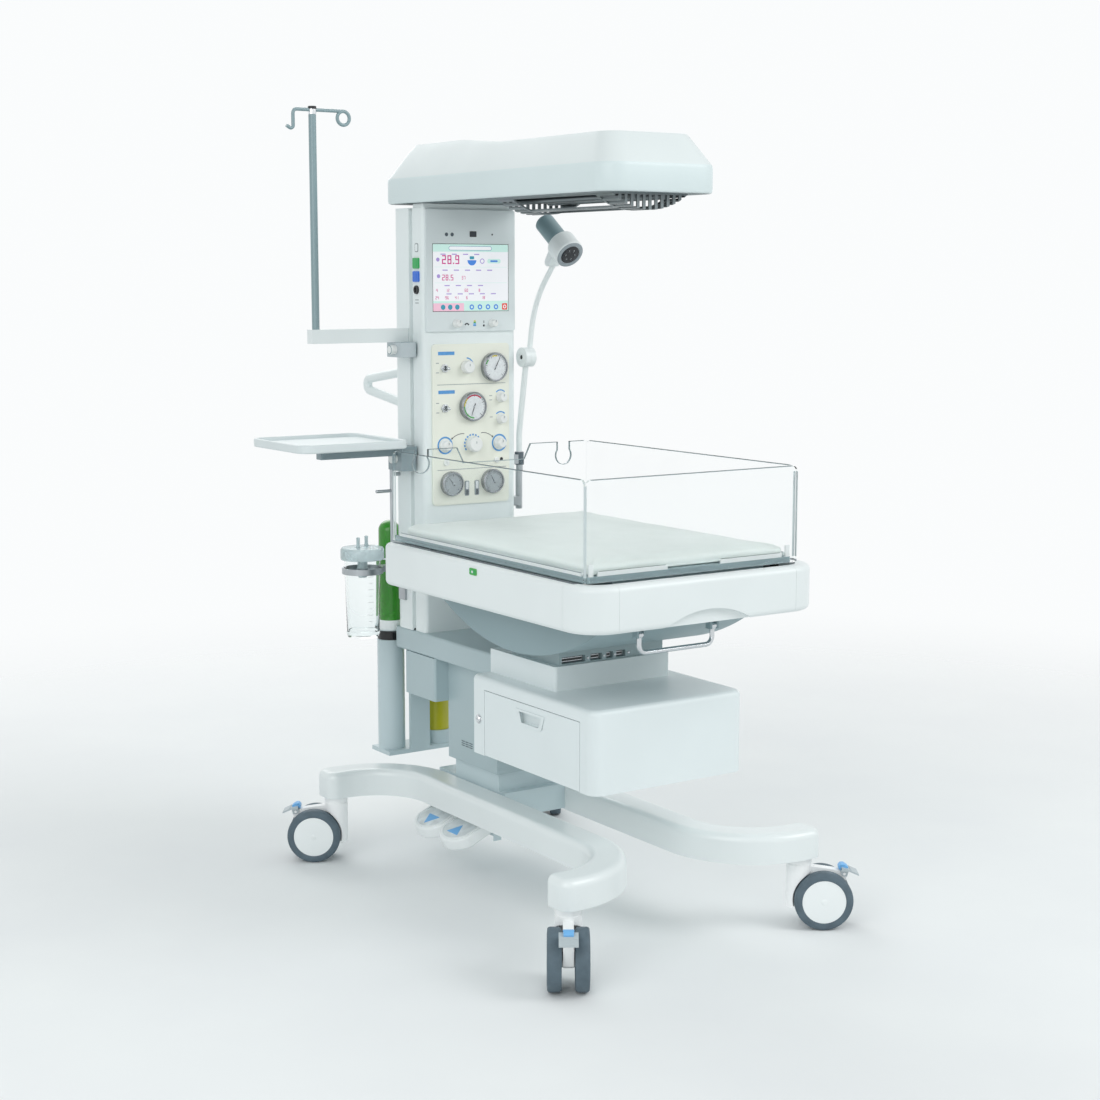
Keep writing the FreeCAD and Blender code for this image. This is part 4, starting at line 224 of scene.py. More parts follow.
# Screen levels and roughness of each finish
LEVELS = {
    "moulded": {
        # hood_band_shade and hood_underside_shade are painted shade: the hood's lower band and its
        # underside, darker than the hood where less light falls
        "white": (232, 238, 238, 0.34), "hood": (226, 233, 233, 0.4), "hood_band_shade": (219, 231, 232, 0.4),
        "hood_underside_shade": (104, 118, 122, 0.5), "cabinet": (230, 238, 239, 0.38),
        "column": (233, 240, 240, 0.36), "panel": (224, 232, 233, 0.45), "ivory": (238, 240, 228, 0.42),
        # pan and belly_shade are greys darkened as painted shade for the shadow of the bed over the rocker
        # and the port block
        "belly_shade": (168, 186, 189, 0.42), "pan": (146, 168, 173, 0.42), "shelf": (222, 230, 231, 0.36),
        # fork is near pure white, paler than the other whites: a painted highlight on the caster forks
        "fork": (252, 254, 254, 0.3), "knob": (236, 238, 236, 0.28), "pedal": (242, 246, 246, 0.4),
        # lamp_barrel: the barrel's grey-teal, darkened as painted shade for the hood's shadow
        "lever": (186, 196, 200, 0.4), "lamp_barrel": (130, 154, 160, 0.4),
        "blue": (118, 184, 238, 0.35), "green_socket": (46, 168, 88, 0.35),
        "blue_socket": (44, 110, 214, 0.35), "black": (24, 27, 30, 0.35), "dark": (84, 96, 103, 0.5),
        "grey": (150, 160, 166, 0.45), "disc": (244, 248, 248, 0.3),
    },
    "coated": {
        "leg": (233, 239, 239, 0.3), "chassis": (174, 192, 196, 0.4), "cradle": (194, 210, 214, 0.36),
        "beam": (202, 218, 222, 0.42), "pole": (134, 157, 162, 0.32), "clamp": (128, 146, 152, 0.36),
        "green_paint": (42, 138, 20, 0.25), "yellow_paint": (190, 184, 2, 0.3),
    },
    "printed": {
        "blue_ink": (91, 155, 213, 0.45), "ink": (52, 58, 64, 0.45), "grey_ink": (150, 158, 160, 0.45),
        "red_ink": (206, 44, 84, 0.45), "yellow_ink": (226, 206, 60, 0.45),
        "green_ink": (72, 170, 80, 0.45), "dial": (226, 230, 232, 0.35),
        "grey_dial": (170, 178, 182, 0.35),
    },
    "rubber": {
        "tyre": (92, 108, 118, 0.59), "pad_rubber": (226, 232, 233, 0.59),
    },
}
LIT = {
    "lit_white": (246, 248, 252), "lit_mint": (205, 240, 232), "lit_magenta": (206, 40, 138),
    "lit_pink": (244, 196, 216), "lit_blue": (66, 134, 222), "lit_teal": (58, 152, 176),
    "lit_violet": (170, 150, 214), "lit_red": (226, 70, 56),
}
METALS = {
    "chrome": ((0.78, 0.8, 0.82), 0.1, (1, 1, 1)),
    "steel": ((0.55, 0.58, 0.6), 0.28, (1, 1, 0.03)),
    "satin": ((0.42, 0.45, 0.47), 0.36, (1, 1, 0.03)),
    "bezel": ((0.36, 0.38, 0.4), 0.22, (1, 1, 1)),
    "handle": ((0.62, 0.65, 0.67), 0.2, (1, 1, 1)),
    # guard_shade: the heater guard's grey metal, darkened as painted shade under the hood
    "guard_shade": ((0.2, 0.23, 0.24), 0.4, (1, 0.05, 1)),
    "reflector": ((0.75, 0.76, 0.78), 0.2, (1, 0.03, 1)),
}
M = {
    "acrylic": clear("acrylic", (0.985, 0.995, 0.995, 1), 0.01, 1.12),
    "jar": clear("jar", (0.96, 0.985, 0.985, 1), 0.02, 1.2),
    "lens": clear("lens", (0.8, 0.86, 0.88, 1), 0.05, 1.45, 0.8),
    # edge and pale_edge: grey and pale strips that paint the reflections seen along the clear walls' edges
    "edge": surface("moulded", "edge", srgb(150, 166, 170), 0.2, depth=0.00002),
    "pale_edge": surface("moulded", "pale_edge", srgb(205, 216, 218), 0.2, depth=0.00002),
    # lens_shade: a near-black disc that paints the shade inside the lamp behind its glass
    "lens_shade": surface("moulded", "lens_shade", srgb(30, 34, 40), 0.12, depth=0.00001),
    "lid": surface("moulded", "lid", srgb(214, 230, 233), 0.25, Transmission_Weight=0.35, IOR=1.4),
    "cover": cover_cloth("cover", (227, 236, 233)),
}
for kind, finishes in LEVELS.items():
    for name, (*levels, rough) in finishes.items():
        M[name] = surface(kind, name, srgb(*levels), rough)
for name, (colour, rough, stretch) in METALS.items():
    M[name] = surface("metal", name, colour, rough, stretch)
for name, levels in LIT.items():
    M[name] = lit(name, levels)

FINISHES = {
    "leg": "left_leg right_leg",
    "beam": "base_beam",
    "pedal": "raise_pedal lower_pedal",
    "column": "column_housing column_rear_cover rear_handles",
    "chassis": "chassis_beam lift_housing",
    "panel": "control_panel",
    "ivory": "gas_panel",
    "black": "display_screen",
    "bezel": "pressure_gauges",
    "chrome": "drawer_lock",
    "handle": "tilt_handle air_toggle oxygen_toggle",
    "cabinet": "cabinet_shell drawer",
    "cradle": "cylinder_cradle",
    # Painted shade: the port block and the bed pan take their greys darkened for the shadow of the bed
    "belly_shade": "port_block",
    "pan": "bed_pan",
    "satin": "accessory_rod lamp_post",
    "white": "lamp_pole lamp_arm lamp_head shelf bed_rim",
    "hood": "hood_shell",
    # Painted shade: the heater guard takes a darkened metal for the shade under the hood
    "guard_shade": "heater_unit",
    "pole": "iv_pole",
    "acrylic": "left_wall right_wall front_wall rear_wall",
    "green_paint": "gas_cylinders",
    "jar": "suction_jar",
    "cover": "mattress",
}


def paint_frame():
    """Give each solid from the frame its finish."""
    pairs = [(name, material) for material, names in FINISHES.items() for name in names.split()]
    pairs += [(name, "knob") for name in NODES if name.endswith("_knob")]
    # The forks' near-white finish is a painted highlight
    for kind, material in (("fork", "fork"), ("wheels", "tyre"), ("brake", "lever")):
        pairs += [(f"caster_{kind}_{corner}", material) for corner in CORNERS]
    for name, material in pairs:
        mesh = NODES[name].data
        mesh.materials.clear()
        mesh.materials.append(M[material])


# Mesh pieces

class Plane:
    """A flat working plane: u and v run across it, and w stands out of it."""

    def __init__(self, origin, u, v):
        self.origin = Vector(origin)
        self.u = Vector(u)
        self.v = Vector(v)
        self.w = self.u.cross(self.v)

    def at(self, u, v, w=0.0):
        return (self.origin + self.u * u + self.v * v + self.w * w) * MM


def round_rect(u0, u1, v0, v1, radius, steps=6):
    """Outline of a rectangle with round corners."""
    points = []
    corners = ((u1, v0, -90), (u1, v1, 0), (u0, v1, 90), (u0, v0, 180))
    for u, v, start in corners:
        centre_u = u - math.copysign(radius, u - (u0 + u1) / 2)
        centre_v = v - math.copysign(radius, v - (v0 + v1) / 2)
        points += arc(centre_u, centre_v, radius, start, start + 90, steps)
    return points


def arc(u, v, radius, start, end, steps=24):
    """Points along an arc, angles in degrees from +u towards +v."""
    angles = [math.radians(start + (end - start) * i / steps) for i in range(steps + 1)]
    return [(u + radius * math.cos(a), v + radius * math.sin(a)) for a in angles]


def sector(u, v, inner, outer, start, end, steps=24):
    """Outline of a band between two radii."""
    return arc(u, v, outer, start, end, steps) + arc(u, v, inner, end, start, steps)


def around(u, v, radius, count):
    """Places spaced evenly round a point."""
    angles = [math.tau * i / count for i in range(count)]
    return [(u + radius * math.cos(a), v + radius * math.sin(a)) for a in angles]


def heading(degrees):
    """Unit vectors along a direction in a plane and across it."""
    angle = math.radians(degrees)
    along = Vector((math.cos(angle), math.sin(angle)))
    return along, Vector((-along.y, along.x))


def washer(inner, outer, low, high):
    """Profile of a flat ring."""
    return [(inner, low), (outer, low), (outer, high), (inner, high), (inner, low)]


def stud(radius, low, high):
    """Profile of a flat disc."""
    return [(0, low), (radius, low), (radius, high), (0, high)]


def skin(rings, count):
    """Faces between closed rings of as many points."""
    faces = []
    for low in range(0, (rings - 1) * count, count):
        for i in range(count):
            after = (i + 1) % count
            faces.append([low + i, low + after, low + count + after, low + count + i])
    return faces


class Piece:
    """A mesh gathered from plates, turned forms and tubes on a working plane, with a material for each."""

    def __init__(self, name, plane=None):
        self.name = name
        self.plane = plane
        self.points = []
        self.faces = []
        self.face_materials = []
        self.materials = []

    def on(self, plane):
        """Go on with another working plane."""
        self.plane = plane

    def add(self, points, faces, material):
        """Take in points in metres, and faces that count from the first of them."""
        if material not in self.materials:
            self.materials.append(material)
        start = len(self.points)
        self.points += points
        self.faces += [[start + i for i in face] for face in faces]
        self.face_materials += [self.materials.index(material)] * len(faces)

    def plate(self, outline, low, high, material):
        """An outline given a thickness from low to high along w."""
        count = len(outline)
        points = [self.plane.at(u, v, w) for w in (low, high) for u, v in outline]
        faces = [list(range(count))[::-1], list(range(count, 2 * count))]
        self.add(points, faces + skin(2, count), material)

    def block(self, rect, low, high, material):
        """A plate with the outline of a round rectangle."""
        self.plate(round_rect(*rect), low, high, material)

    def strip(self, u0, u1, v0, v1, half, material):
        """A square-cut bar that stands out as far on both sides of the plane."""
        u0, u1 = sorted((u0, u1))
        self.plate([(u0, v0), (u1, v0), (u1, v1), (u0, v1)], -half, half, material)

    def band(self, outer, inner, low, high, material):
        """A closed ring between two outlines of as many points, from low to high along w."""
        count = len(outer)
        points = [self.plane.at(u, v, w) for w in (low, high) for line in (outer, inner) for u, v in line]
        faces = []
        for i in range(count):
            after = (i + 1) % count
            for a, b in ((0, count), (count, 3 * count), (3 * count, 2 * count), (2 * count, 0)):
                faces.append([a + i, a + after, b + after, b + i])
        self.add(points, faces, material)

    def turned(self, u, v, profile, material, count=48):
        """A profile of (radius, w) turned round the plane's normal at u, v. Ends on the axis close it."""
        points = [self.plane.at(*spot, w) for radius, w in profile for spot in around(u, v, radius, count)]
        self.add(points, skin(len(profile), count), material)

    def tube(self, path, radius, material, count=12):
        """A round bar along points in millimetres, closed at both ends."""
        path = [Vector(p) for p in path]
        points = []
        side = None
        for i, point in enumerate(path):
            heading = (path[min(i + 1, len(path) - 1)] - path[max(i - 1, 0)]).normalized()
            if side is None:
                side = heading.orthogonal().normalized()
            side = (side - heading * side.dot(heading)).normalized()
            across = heading.cross(side)
            for k in range(count):
                angle = math.tau * k / count
                points.append((point + (side * math.cos(angle) + across * math.sin(angle)) * radius) * MM)
        faces = [list(range(count))[::-1], list(range(len(points) - count, len(points)))]
        self.add(points, faces + skin(len(path), count), material)

    def build(self, body, bevel=0.0):
        """Make the object, round its edges and let it ride on a body."""
        mesh = bpy.data.meshes.new(self.name)
        mesh.from_pydata([p[:] for p in self.points], [], self.faces)
        for material in self.materials:
            mesh.materials.append(M[material])
        mesh.polygons.foreach_set("material_index", self.face_materials)
        form = bmesh.new()
        form.from_mesh(mesh)
        bmesh.ops.remove_doubles(form, verts=form.verts, dist=SAME_POINT)
        bmesh.ops.recalc_face_normals(form, faces=form.faces)
        form.to_mesh(mesh)
        form.free()
        mesh.polygons.foreach_set("use_smooth", [True] * len(mesh.polygons))
        mesh.set_sharp_from_angle(angle=math.radians(SHARP_ANGLE))
        piece = show(self.name, mesh)
        if bevel:
            rounding = piece.modifiers.new("edge_round", "BEVEL")
            rounding.width = bevel * MM
            rounding.segments = 2
            rounding.limit_method = "ANGLE"
        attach(piece, body)
        return piece


def facing(y):
    """Plane that faces -Y: u along +X and v along +Z."""
    return Plane((0, y, 0), (1, 0, 0), (0, 0, 1))


def front_plane(node):
    """Plane on the front face of a panel."""
    return facing(box(node)[0].y)


def top_plane(z):
    """Plane that faces up: u along +X and v along +Y."""
    return Plane((0, 0, z), (1, 0, 0), (0, 1, 0))


def left_plane(x):
    """Plane that faces -X: u along -Y and v along +Z."""
    return Plane((x, 0, 0), (0, -1, 0), (0, 0, 1))


# Display

SEGMENTS = {
    "0": "abcdef", "1": "bc", "2": "abged", "3": "abgcd", "4": "fgbc",
    "5": "afgcd", "6": "afgedc", "7": "abc", "8": "abcdefg", "9": "abcdfg",
}


def digits(piece, u, v, height, text, material):
    """Plain readout numbers made of bars, with the lower left of the first at u, v."""
    width = height * 0.52
    bar = height * 0.13
    lift = (0.35, 0.5)
    for mark in text:
        if mark == ".":
            piece.block((u, u + bar * 1.3, v, v + bar * 1.3, bar * 0.5), *lift, material)
            u += bar * 2.4
            continue
        middle = v + height / 2
        top = v + height
        bars = {
            "a": (u, u + width, top - bar, top),
            "g": (u, u + width, middle - bar / 2, middle + bar / 2),
            "d": (u, u + width, v, v + bar),
            "f": (u, u + bar, middle, top),
            "e": (u, u + bar, v, middle),
            "b": (u + width - bar, u + width, middle, top),
            "c": (u + width - bar, u + width, v, middle),
        }
        for name in SEGMENTS[mark]:
            piece.block((*bars[name], bar * 0.45, 3), *lift, material)
        u += width + bar * 1.6


def add_screen():
    """Lit display: header, readouts, small values and a row of round icons, placed from its upper left."""
    low, high = box("display_screen")
    wide, tall = high.x - low.x - 2, high.z - low.z - 2
    screen = Piece("display_picture", Plane((low.x + 1, low.y, high.z - 1), (1, 0, 0), (0, 0, 1)))
    screen.block((0, wide, -tall, 0, 1.5), 0.02, 0.2, "lit_white")
    screen.block((0, wide, -17, 0, 1.5), 0.2, 0.28, "lit_mint")
    screen.block((42, 158, -14, -4, 5), 0.28, 0.34, "lit_teal")
    screen.block((43, 157, -13, -5, 4), 0.34, 0.4, "lit_white")
    screen.block((0, wide, -tall, 23 - tall, 1.5), 0.2, 0.28, "lit_mint")
    screen.block((0, 82, -tall, 18 - tall, 1.5), 0.28, 0.32, "lit_pink")
    digits(screen, 24, -45, 20, "28.9", "lit_magenta")
    digits(screen, 24, -82, 13, "28.5", "lit_magenta")
    digits(screen, 76, -80, 8, "37", "lit_magenta")
    for u, text in ((8, "4"), (34, "12"), (84, "60"), (122, "8")):
        digits(screen, u, -108, 7, text, "lit_magenta")
    for u, text in ((6, "24"), (32, "96"), (58, "41"), (88, "6"), (130, "18")):
        digits(screen, u, 27 - tall, 7, text, "lit_magenta")
    screen.plate(arc(104, -36, 12, 180, 360, 20), 0.3, 0.5, "lit_blue")
    screen.block((98, 110, -34, -27, 2), 0.3, 0.5, "lit_teal")
    screen.block((146, 182, -43, -33, 4), 0.3, 0.4, "lit_mint")
    screen.block((154, 174, -40, -36, 1.5), 0.4, 0.5, "lit_blue")
    screen.turned(132, -38, washer(4.2, 6, 0.3, 0.5), "lit_violet")
    for u, v in ((13, 35), (14.5, 72.5)):
        screen.turned(u, -v, stud(4.5, 0.3, 0.5), "lit_violet")
    for row, v in enumerate((-24, -60, -95, 38 - tall)):
        for i in range(4 + row % 2):
            u = 20 + i * 30 + row * 5
            screen.block((u, u + 14, v, v + 2.4, 1), 0.3, 0.4, "lit_violet")
    for v in (-52, -88):
        screen.block((4, wide - 4, v, v + 0.6, 0.2, 2), 0.3, 0.35, "lit_mint")
    button = stud(6, 0.32, 0.5)
    for i in range(3):
        screen.turned(26 + i * 19, 9 - tall, button, "lit_teal")
    for i in range(4):
        screen.turned(103 + i * 22, 9 - tall, button, "lit_blue")
        screen.turned(103 + i * 22, 9 - tall, stud(3, 0.5, 0.6), "lit_mint")
    screen.block((wide - 17, wide - 3, 2 - tall, 17 - tall, 2), 0.3, 0.5, "lit_red")
    screen.turned(wide - 10, 9.5 - tall, washer(2.5, 4.5, 0.5, 0.6), "lit_white")
    screen.build("carriage")


def add_control_panel():
    """Sensor window, speaker dots and marks on the upper panel."""
    trim = Piece("control_panel_trim", front_plane("control_panel"))
    trim.block((-3, 15, 1459, 1472, 1), 0.05, 0.6, "black")
    trim.block((-1.5, 13.5, 1460.5, 1470.5, 0.8), 0.6, 0.8, "ink")
    for x in (-65, -50):
        trim.turned(x, 1464, [(0, 0.1), (2.4, 0.1), (2.8, 0.6), (4, 0.6), (4.4, 0.05)], "dark", 24)
    trim.turned(58, 1465, [(0, 0.5), (1.8, 0.5), (2.2, 0.05)], "ink", 20)
    bands = ("blue_ink", "blue", "green_ink", "yellow_ink")
    for i, material in enumerate(bands):
        z = 1255.5 + i * 3.4
        trim.block((5 + i * 0.6, 13 - i * 0.4, z, z + 3, 0.6), 0.05, 0.3, material)
    trim.plate(sector(-12, 1256, 4, 7, 20, 160, 10), 0.05, 0.3, "ink")
    trim.turned(34, 1256.5, [(0, 0.3), (2.6, 0.3), (2.6, 0.05)], "ink", 20)
    trim.block((32.6, 35.4, 1262, 1268, 0.8), 0.05, 0.3, "grey_ink")
    trim.build("carriage")


# Gas panel

GAUGES = {"supply": (60, 1160), "airway": (1, 1070)}
SMALL_GAUGES = {"oxygen": (-56, 893), "air": (55, 893)}


def add_dial(name, x, z, radius, face, scale, bands, needle):
    """A gauge's face with tick marks and colour bands, a needle and its cap."""
    dial = Piece(f"{name}_dial", facing(box("pressure_gauges")[0].y + 4))
    inner = radius - 4.3
    dial.turned(x, z, [(0, 0.3), (inner, 0.3), (inner, 0.05)], face, 64)
    for start, end, material in bands:
        dial.plate(sector(x, z, inner - 5, inner - 2, start, end), 0.3, 0.4, material)
    for i in range(scale + 1):
        along, across = heading(225 - 270 * i / scale)
        reach, half = (7, 0.45) if i % 5 == 0 else (4.5, 0.25)
        near, far, across = along * (inner - reach), along * (inner - 1.2), across * half
        tick = [near - across, far - across, far + across, near + across]
        dial.plate([(x + p.x, z + p.y) for p in tick], 0.4, 0.5, "ink")
    along, across = heading(needle)
    tip = along * (inner - 6)
    tail = along * -inner * 0.25
    pointer = [tail - across * 1.1, tip - across * 0.3, tip + across * 0.3, tail + across * 1.1]
    dial.plate([(x + p.x, z + p.y) for p in pointer], 1.2, 1.6, "ink")
    dial.turned(x, z, [(0, 2.4), (1.8, 2.2), (2.4, 1.2), (2.4, 0.3)], "steel", 24)
    dial.build("carriage")


def add_arrow(piece, start, end, rise, material):
    """A curved arrow from one control to the next."""
    start, end = Vector(start), Vector(end)
    middle = (start + end) / 2 + Vector((0, rise))
    steps = 12
    line = []
    for i in range(steps + 1):
        t = i / steps
        line.append(start * (1 - t) ** 2 + middle * 2 * t * (1 - t) + end * t * t)
    upper, lower = [], []
    for i, point in enumerate(line):
        along = (line[min(i + 1, steps)] - line[max(i - 1, 0)]).normalized()
        across = Vector((-along.y, along.x)) * 0.7
        upper.append(tuple(point + across))
        lower.append(tuple(point - across))
    piece.plate(upper + lower[::-1], 0.05, 0.2, material)
    along = (line[-1] - line[-2]).normalized()
    across = Vector((-along.y, along.x)) * 2.8
    head = [tuple(end + along * 5), tuple(end + across), tuple(end - across)]
    piece.plate(head, 0.05, 0.2, material)


def add_gas_panel():
    """Printing and fittings of the ivory panel."""
    plane = front_plane("gas_panel")
    print_on = Piece("gas_panel_print", plane)
    for x, z in ((-67, 1194), (-67, 1105)):
        print_on.block((x - 22, x + 22, z - 4, z + 4, 1), 0.03, 0.15, "blue_ink")
    for z in (1122, 925):
        print_on.block((-92, 94, z - 0.7, z + 0.7, 0.5, 2), 0.03, 0.15, "grey_ink")
    arcs = {
        "suction_knob_turn": (19, -15, 85),
        "pressure_knob_turn": (15, 45, 135),
        "relief_knob_turn": (15, 45, 135),
    }
    for joint, (inner, start, end) in arcs.items():
        spot = pin_place(joint)
        print_on.plate(sector(spot.x, spot.z, inner, inner + 3, start, end), 0.03, 0.15, "blue_ink")
    for joint in ("left_flow_knob_turn", "right_flow_knob_turn"):
        spot = pin_place(joint)
        print_on.turned(spot.x, spot.z, washer(16.5, 20.5, 0.03, 0.15), "blue_ink", 64)
    spot = pin_place("mix_knob_turn")
    for i in range(9):
        start = 40 + i * 20.5
        print_on.plate(sector(spot.x, spot.z, 20, 24, start, start + 13, 6), 0.03, 0.15, "blue_ink")
    left = pin_place("left_flow_knob_turn")
    right = pin_place("right_flow_knob_turn")
    add_arrow(print_on, (spot.x - 23, spot.z + 25), (left.x + 20, left.z + 16), 7, "ink")
    add_arrow(print_on, (spot.x + 23, spot.z + 25), (right.x - 20, right.z + 16), 7, "ink")
    for x, z in ((-91, 1172), (-91, 1150), (-91, 1080), (-91, 1058), (53, 1093), (53, 1083), (54, 1043)):
        print_on.block((x - 4, x + 4, z - 0.8, z + 0.8, 0.4, 2), 0.03, 0.12, "grey_ink")
    print_on.build("carriage")
    fittings = Piece("gas_panel_fittings", plane)
    for joint in ("air_toggle_flip", "oxygen_toggle_flip"):
        spot = pin_place(joint)
        nut = [(5.4, 0.1), (10.5, 0.1), (10.5, 3), (9.6, 4), (7, 4), (5.6, 2.4), (5.4, 0.1)]
        fittings.turned(spot.x, spot.z, nut, "handle", 6)
        collar = [(5.5, 3.8), (7.6, 3.8), (7.2, 5.4), (5.6, 5.4), (5.5, 3.8)]
        fittings.turned(spot.x, spot.z, collar, "steel", 32)
    fittings.turned(-68, 942, [(0, 1), (2, 1), (2.4, 3), (7, 3), (7.5, 0.1)], "knob", 32)
    fittings.turned(68, 942, [(0, 4), (5, 4), (6.6, 3), (7, 0.1)], "knob", 32)
    fittings.turned(82, 943, [(0, 1.6), (3.4, 1.6), (4, 1), (4.2, 0.1)], "black", 32)
    for x in (-13, 14):
        fittings.block((x - 5.5, x + 5.5, 862, 897, 3), 0.05, 2.4, "grey")
        fittings.block((x - 3.6, x + 3.6, 878, 895, 2), 2.4, 2.8, "dial")
        fittings.block((x - 3.6, x + 3.6, 864, 876, 2), 2.4, 3.0, "dark")
    fittings.build("carriage", bevel=0.3)
    bands = ((140, 165, "green_ink"), (80, 110, "yellow_ink"))
    add_dial("supply", *GAUGES["supply"], 34, "dial", 25, bands, 62)
    bands = ((45, 135, "red_ink"), (135, 178, "yellow_ink"), (178, 270, "green_ink"))
    add_dial("airway", *GAUGES["airway"], 34, "dial", 20, bands, 250)
    add_dial("oxygen", *SMALL_GAUGES["oxygen"], 28.5, "grey_dial", 20, (), 130)
    add_dial("air", *SMALL_GAUGES["air"], 28.5, "grey_dial", 20, (), 120)


def add_knob_marks():
    """A fine pointer line on each knob."""
    for joint in JOINTS:
        if not joint.endswith("_knob_turn"):
            continue
        knob = joint[:-5]
        spot = pin_place(joint)
        mark = Piece(f"{knob}_pointer", front_plane(knob))
        line = (spot.x - 0.8, spot.x + 0.8, spot.z + 2, spot.z + 7.5, 0.6, 3)
        mark.block(line, 0.02, 0.2, "grey_ink")
        mark.build(knob)


def add_side_sockets():
    """Strip of probe sockets down the column's left side."""
    strip = Piece("probe_sockets", left_plane(box("column_housing")[0].x))
    middle = -377
    strip.block((middle - 18, middle + 15, 1262, 1452, 3), 0.05, 0.6, "column")
    for z, material in ((1399, "green_socket"), (1369, "blue_socket")):
        strip.block((middle - 14, middle + 12, z - 12, z + 12, 3), 0.6, 4.3, material)
        strip.block((middle - 8, middle + 6, z - 6, z + 6, 2), 4.3, 4.7, material)
    strip.turned(middle - 1, 1339, [(0, 2), (5, 2), (6, 4.6), (9.5, 4.6), (10, 0.6)], "black", 40)
    strip.block((middle - 8, middle + 7, 1424, 1444, 4), 0.6, 1.4, "grey_ink")
    strip.block((middle - 6, middle + 5, 1426, 1442, 3), 1.4, 1.8, "column")
    for z in (1316, 1309):
        strip.block((middle - 9, middle + 7, z - 1, z + 1, 0.6, 2), 0.6, 0.7, "grey_ink")
    strip.build("carriage", bevel=0.6)


# Casters and pedals

def caster_axes(corner):
    """Trailing direction and axle place of a caster."""
    axis = Vector(JOINTS[f"{corner}_spin"]["axis"])
    return axis.cross(Vector((0, 0, 1))), pin_place(f"{corner}_spin")


def add_wheels(corner, trail, centre):
    """A pair of wide wheels: round tyres, sunk inner webs and pale dished discs."""
    wheels = Piece(f"wheel_pair_{corner}")
    face = WHEEL_FACE
    web = [(4, 11), (15, 11), (15, 17), (45, 17)]
    inside = [(45, 17), (47.5, 13), (58.7, 13), (62.2, 18)]
    shoulder = [(62.4, face - 6), (61.4, face - 2.6), (59, face - 0.6)]
    outside = shoulder + [(48.2, face + 0.4), (46.3, face - 0.6)]
    dish = [(0, face + 1.4), (18, face + 1.3), (30, face + 0.6), (44, face - 0.4), (46.2, face - 0.7)]
    for side in (-1, 1):
        wheels.on(Plane(centre, trail * side, (0, 0, 1)))
        wheels.turned(0, 0, web, "lever")
        wheels.turned(0, 0, inside + outside, "tyre", 72)
        wheels.turned(0, 0, dish, "disc", 64)
        wheels.turned(0, 0, [(0, face + 2), (6, face + 1.9), (7, face + 1.3)], "disc", 32)
    wheels.turned(0, 0, [(4, -11), (4, 11)], "steel", 24)
    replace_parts(wheels.build(f"caster_wheels_{corner}"), f"caster_wheels_{corner}")


def add_casters():
    """Wheels, the blue release on each fork and the treads of the brake pedals."""
    for corner in CORNERS:
        trail, centre = caster_axes(corner)
        add_wheels(corner, trail, centre)
        joint = pin_place(f"{corner}_brake")
        side_plane = Plane(joint, trail, (0, 0, 1))
        release = Piece(f"brake_release_{corner}", side_plane)
        hump = [(-11, 8), (8, 8), (9, 14), (2, 19), (-9, 19), (-12, 14)]
        release.plate(hump, -10, 10, "blue")
        release.plate([(-8, 15), (2, 17), (1, 20), (-8, 20)], -11, 11, "blue")
        release.build(f"caster_brake_{corner}", bevel=1.5)
        tread = Piece(f"brake_tread_{corner}", side_plane)
        for i in range(4):
            start = 13 + i * 4.2
            drop = -0.7 * (start - 9) + 13.4
            end = start + 2
            rib = [(start, drop - 2.5), (end, drop - 3.9), (end, drop - 2.2), (start, drop - 0.9)]
            tread.plate(rib, -16, 16, "lever")
        tread.build(f"caster_brake_{corner}", bevel=0.3)


def tongue(middle, inset, root):
    """Outline of a pedal's top from its root round its tip, drawn in by the inset."""
    half, radius, centre = 56 - inset, 62.7 - inset, -53.3
    turn = math.degrees(math.asin(half / radius))
    tip = arc(centre, middle, radius, 180 - turn, 180 + turn, 24)
    return [(root, middle + half), *tip, (root, middle - half)]


def add_pedals():
    """Sloping pedals, each with a thick rim, a sunk pad and a direction mark: one up and one down."""
    slope = math.radians(PEDAL_SLOPE)
    for name, points_in in (("raise_pedal", True), ("lower_pedal", False)):
        low, high = box(name)
        middle = (low.y + high.y) / 2
        pin = pin_place(f"{name}_press")
        plane = Plane((pin.x, 0, PEDAL_LEVEL), (math.cos(slope), 0, math.sin(slope)), (0, 1, 0))
        slab = Piece(f"{name}_slab", plane)
        slab.plate(tongue(middle, 0, -6), -19, 9, "pedal")
        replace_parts(slab.build(name, bevel=4), name)
        pad = Piece(f"{name}_pad", plane)
        pad.plate(tongue(middle, 6, PEDAL_ROOT), 9.05, 9.7, "pad_rubber")
        rim = tongue(middle, 4.6, PEDAL_ROOT) + tongue(middle, 10, PEDAL_ROOT)[::-1]
        pad.plate(rim, 9.05, 11.6, "pedal")
        tip, back = (-58, -90) if points_in else (-97, -65)
        mark = [(tip, middle), (back, middle + 22), (back, middle - 22)]
        pad.plate(mark, 9.7, 10.6, "blue")
        pad.build(name, bevel=0.8)


# Bed

def mirrored(side, span):
    """A span across the bed's right side (1) or its left (-1)."""
    return sorted(side * end for end in span)


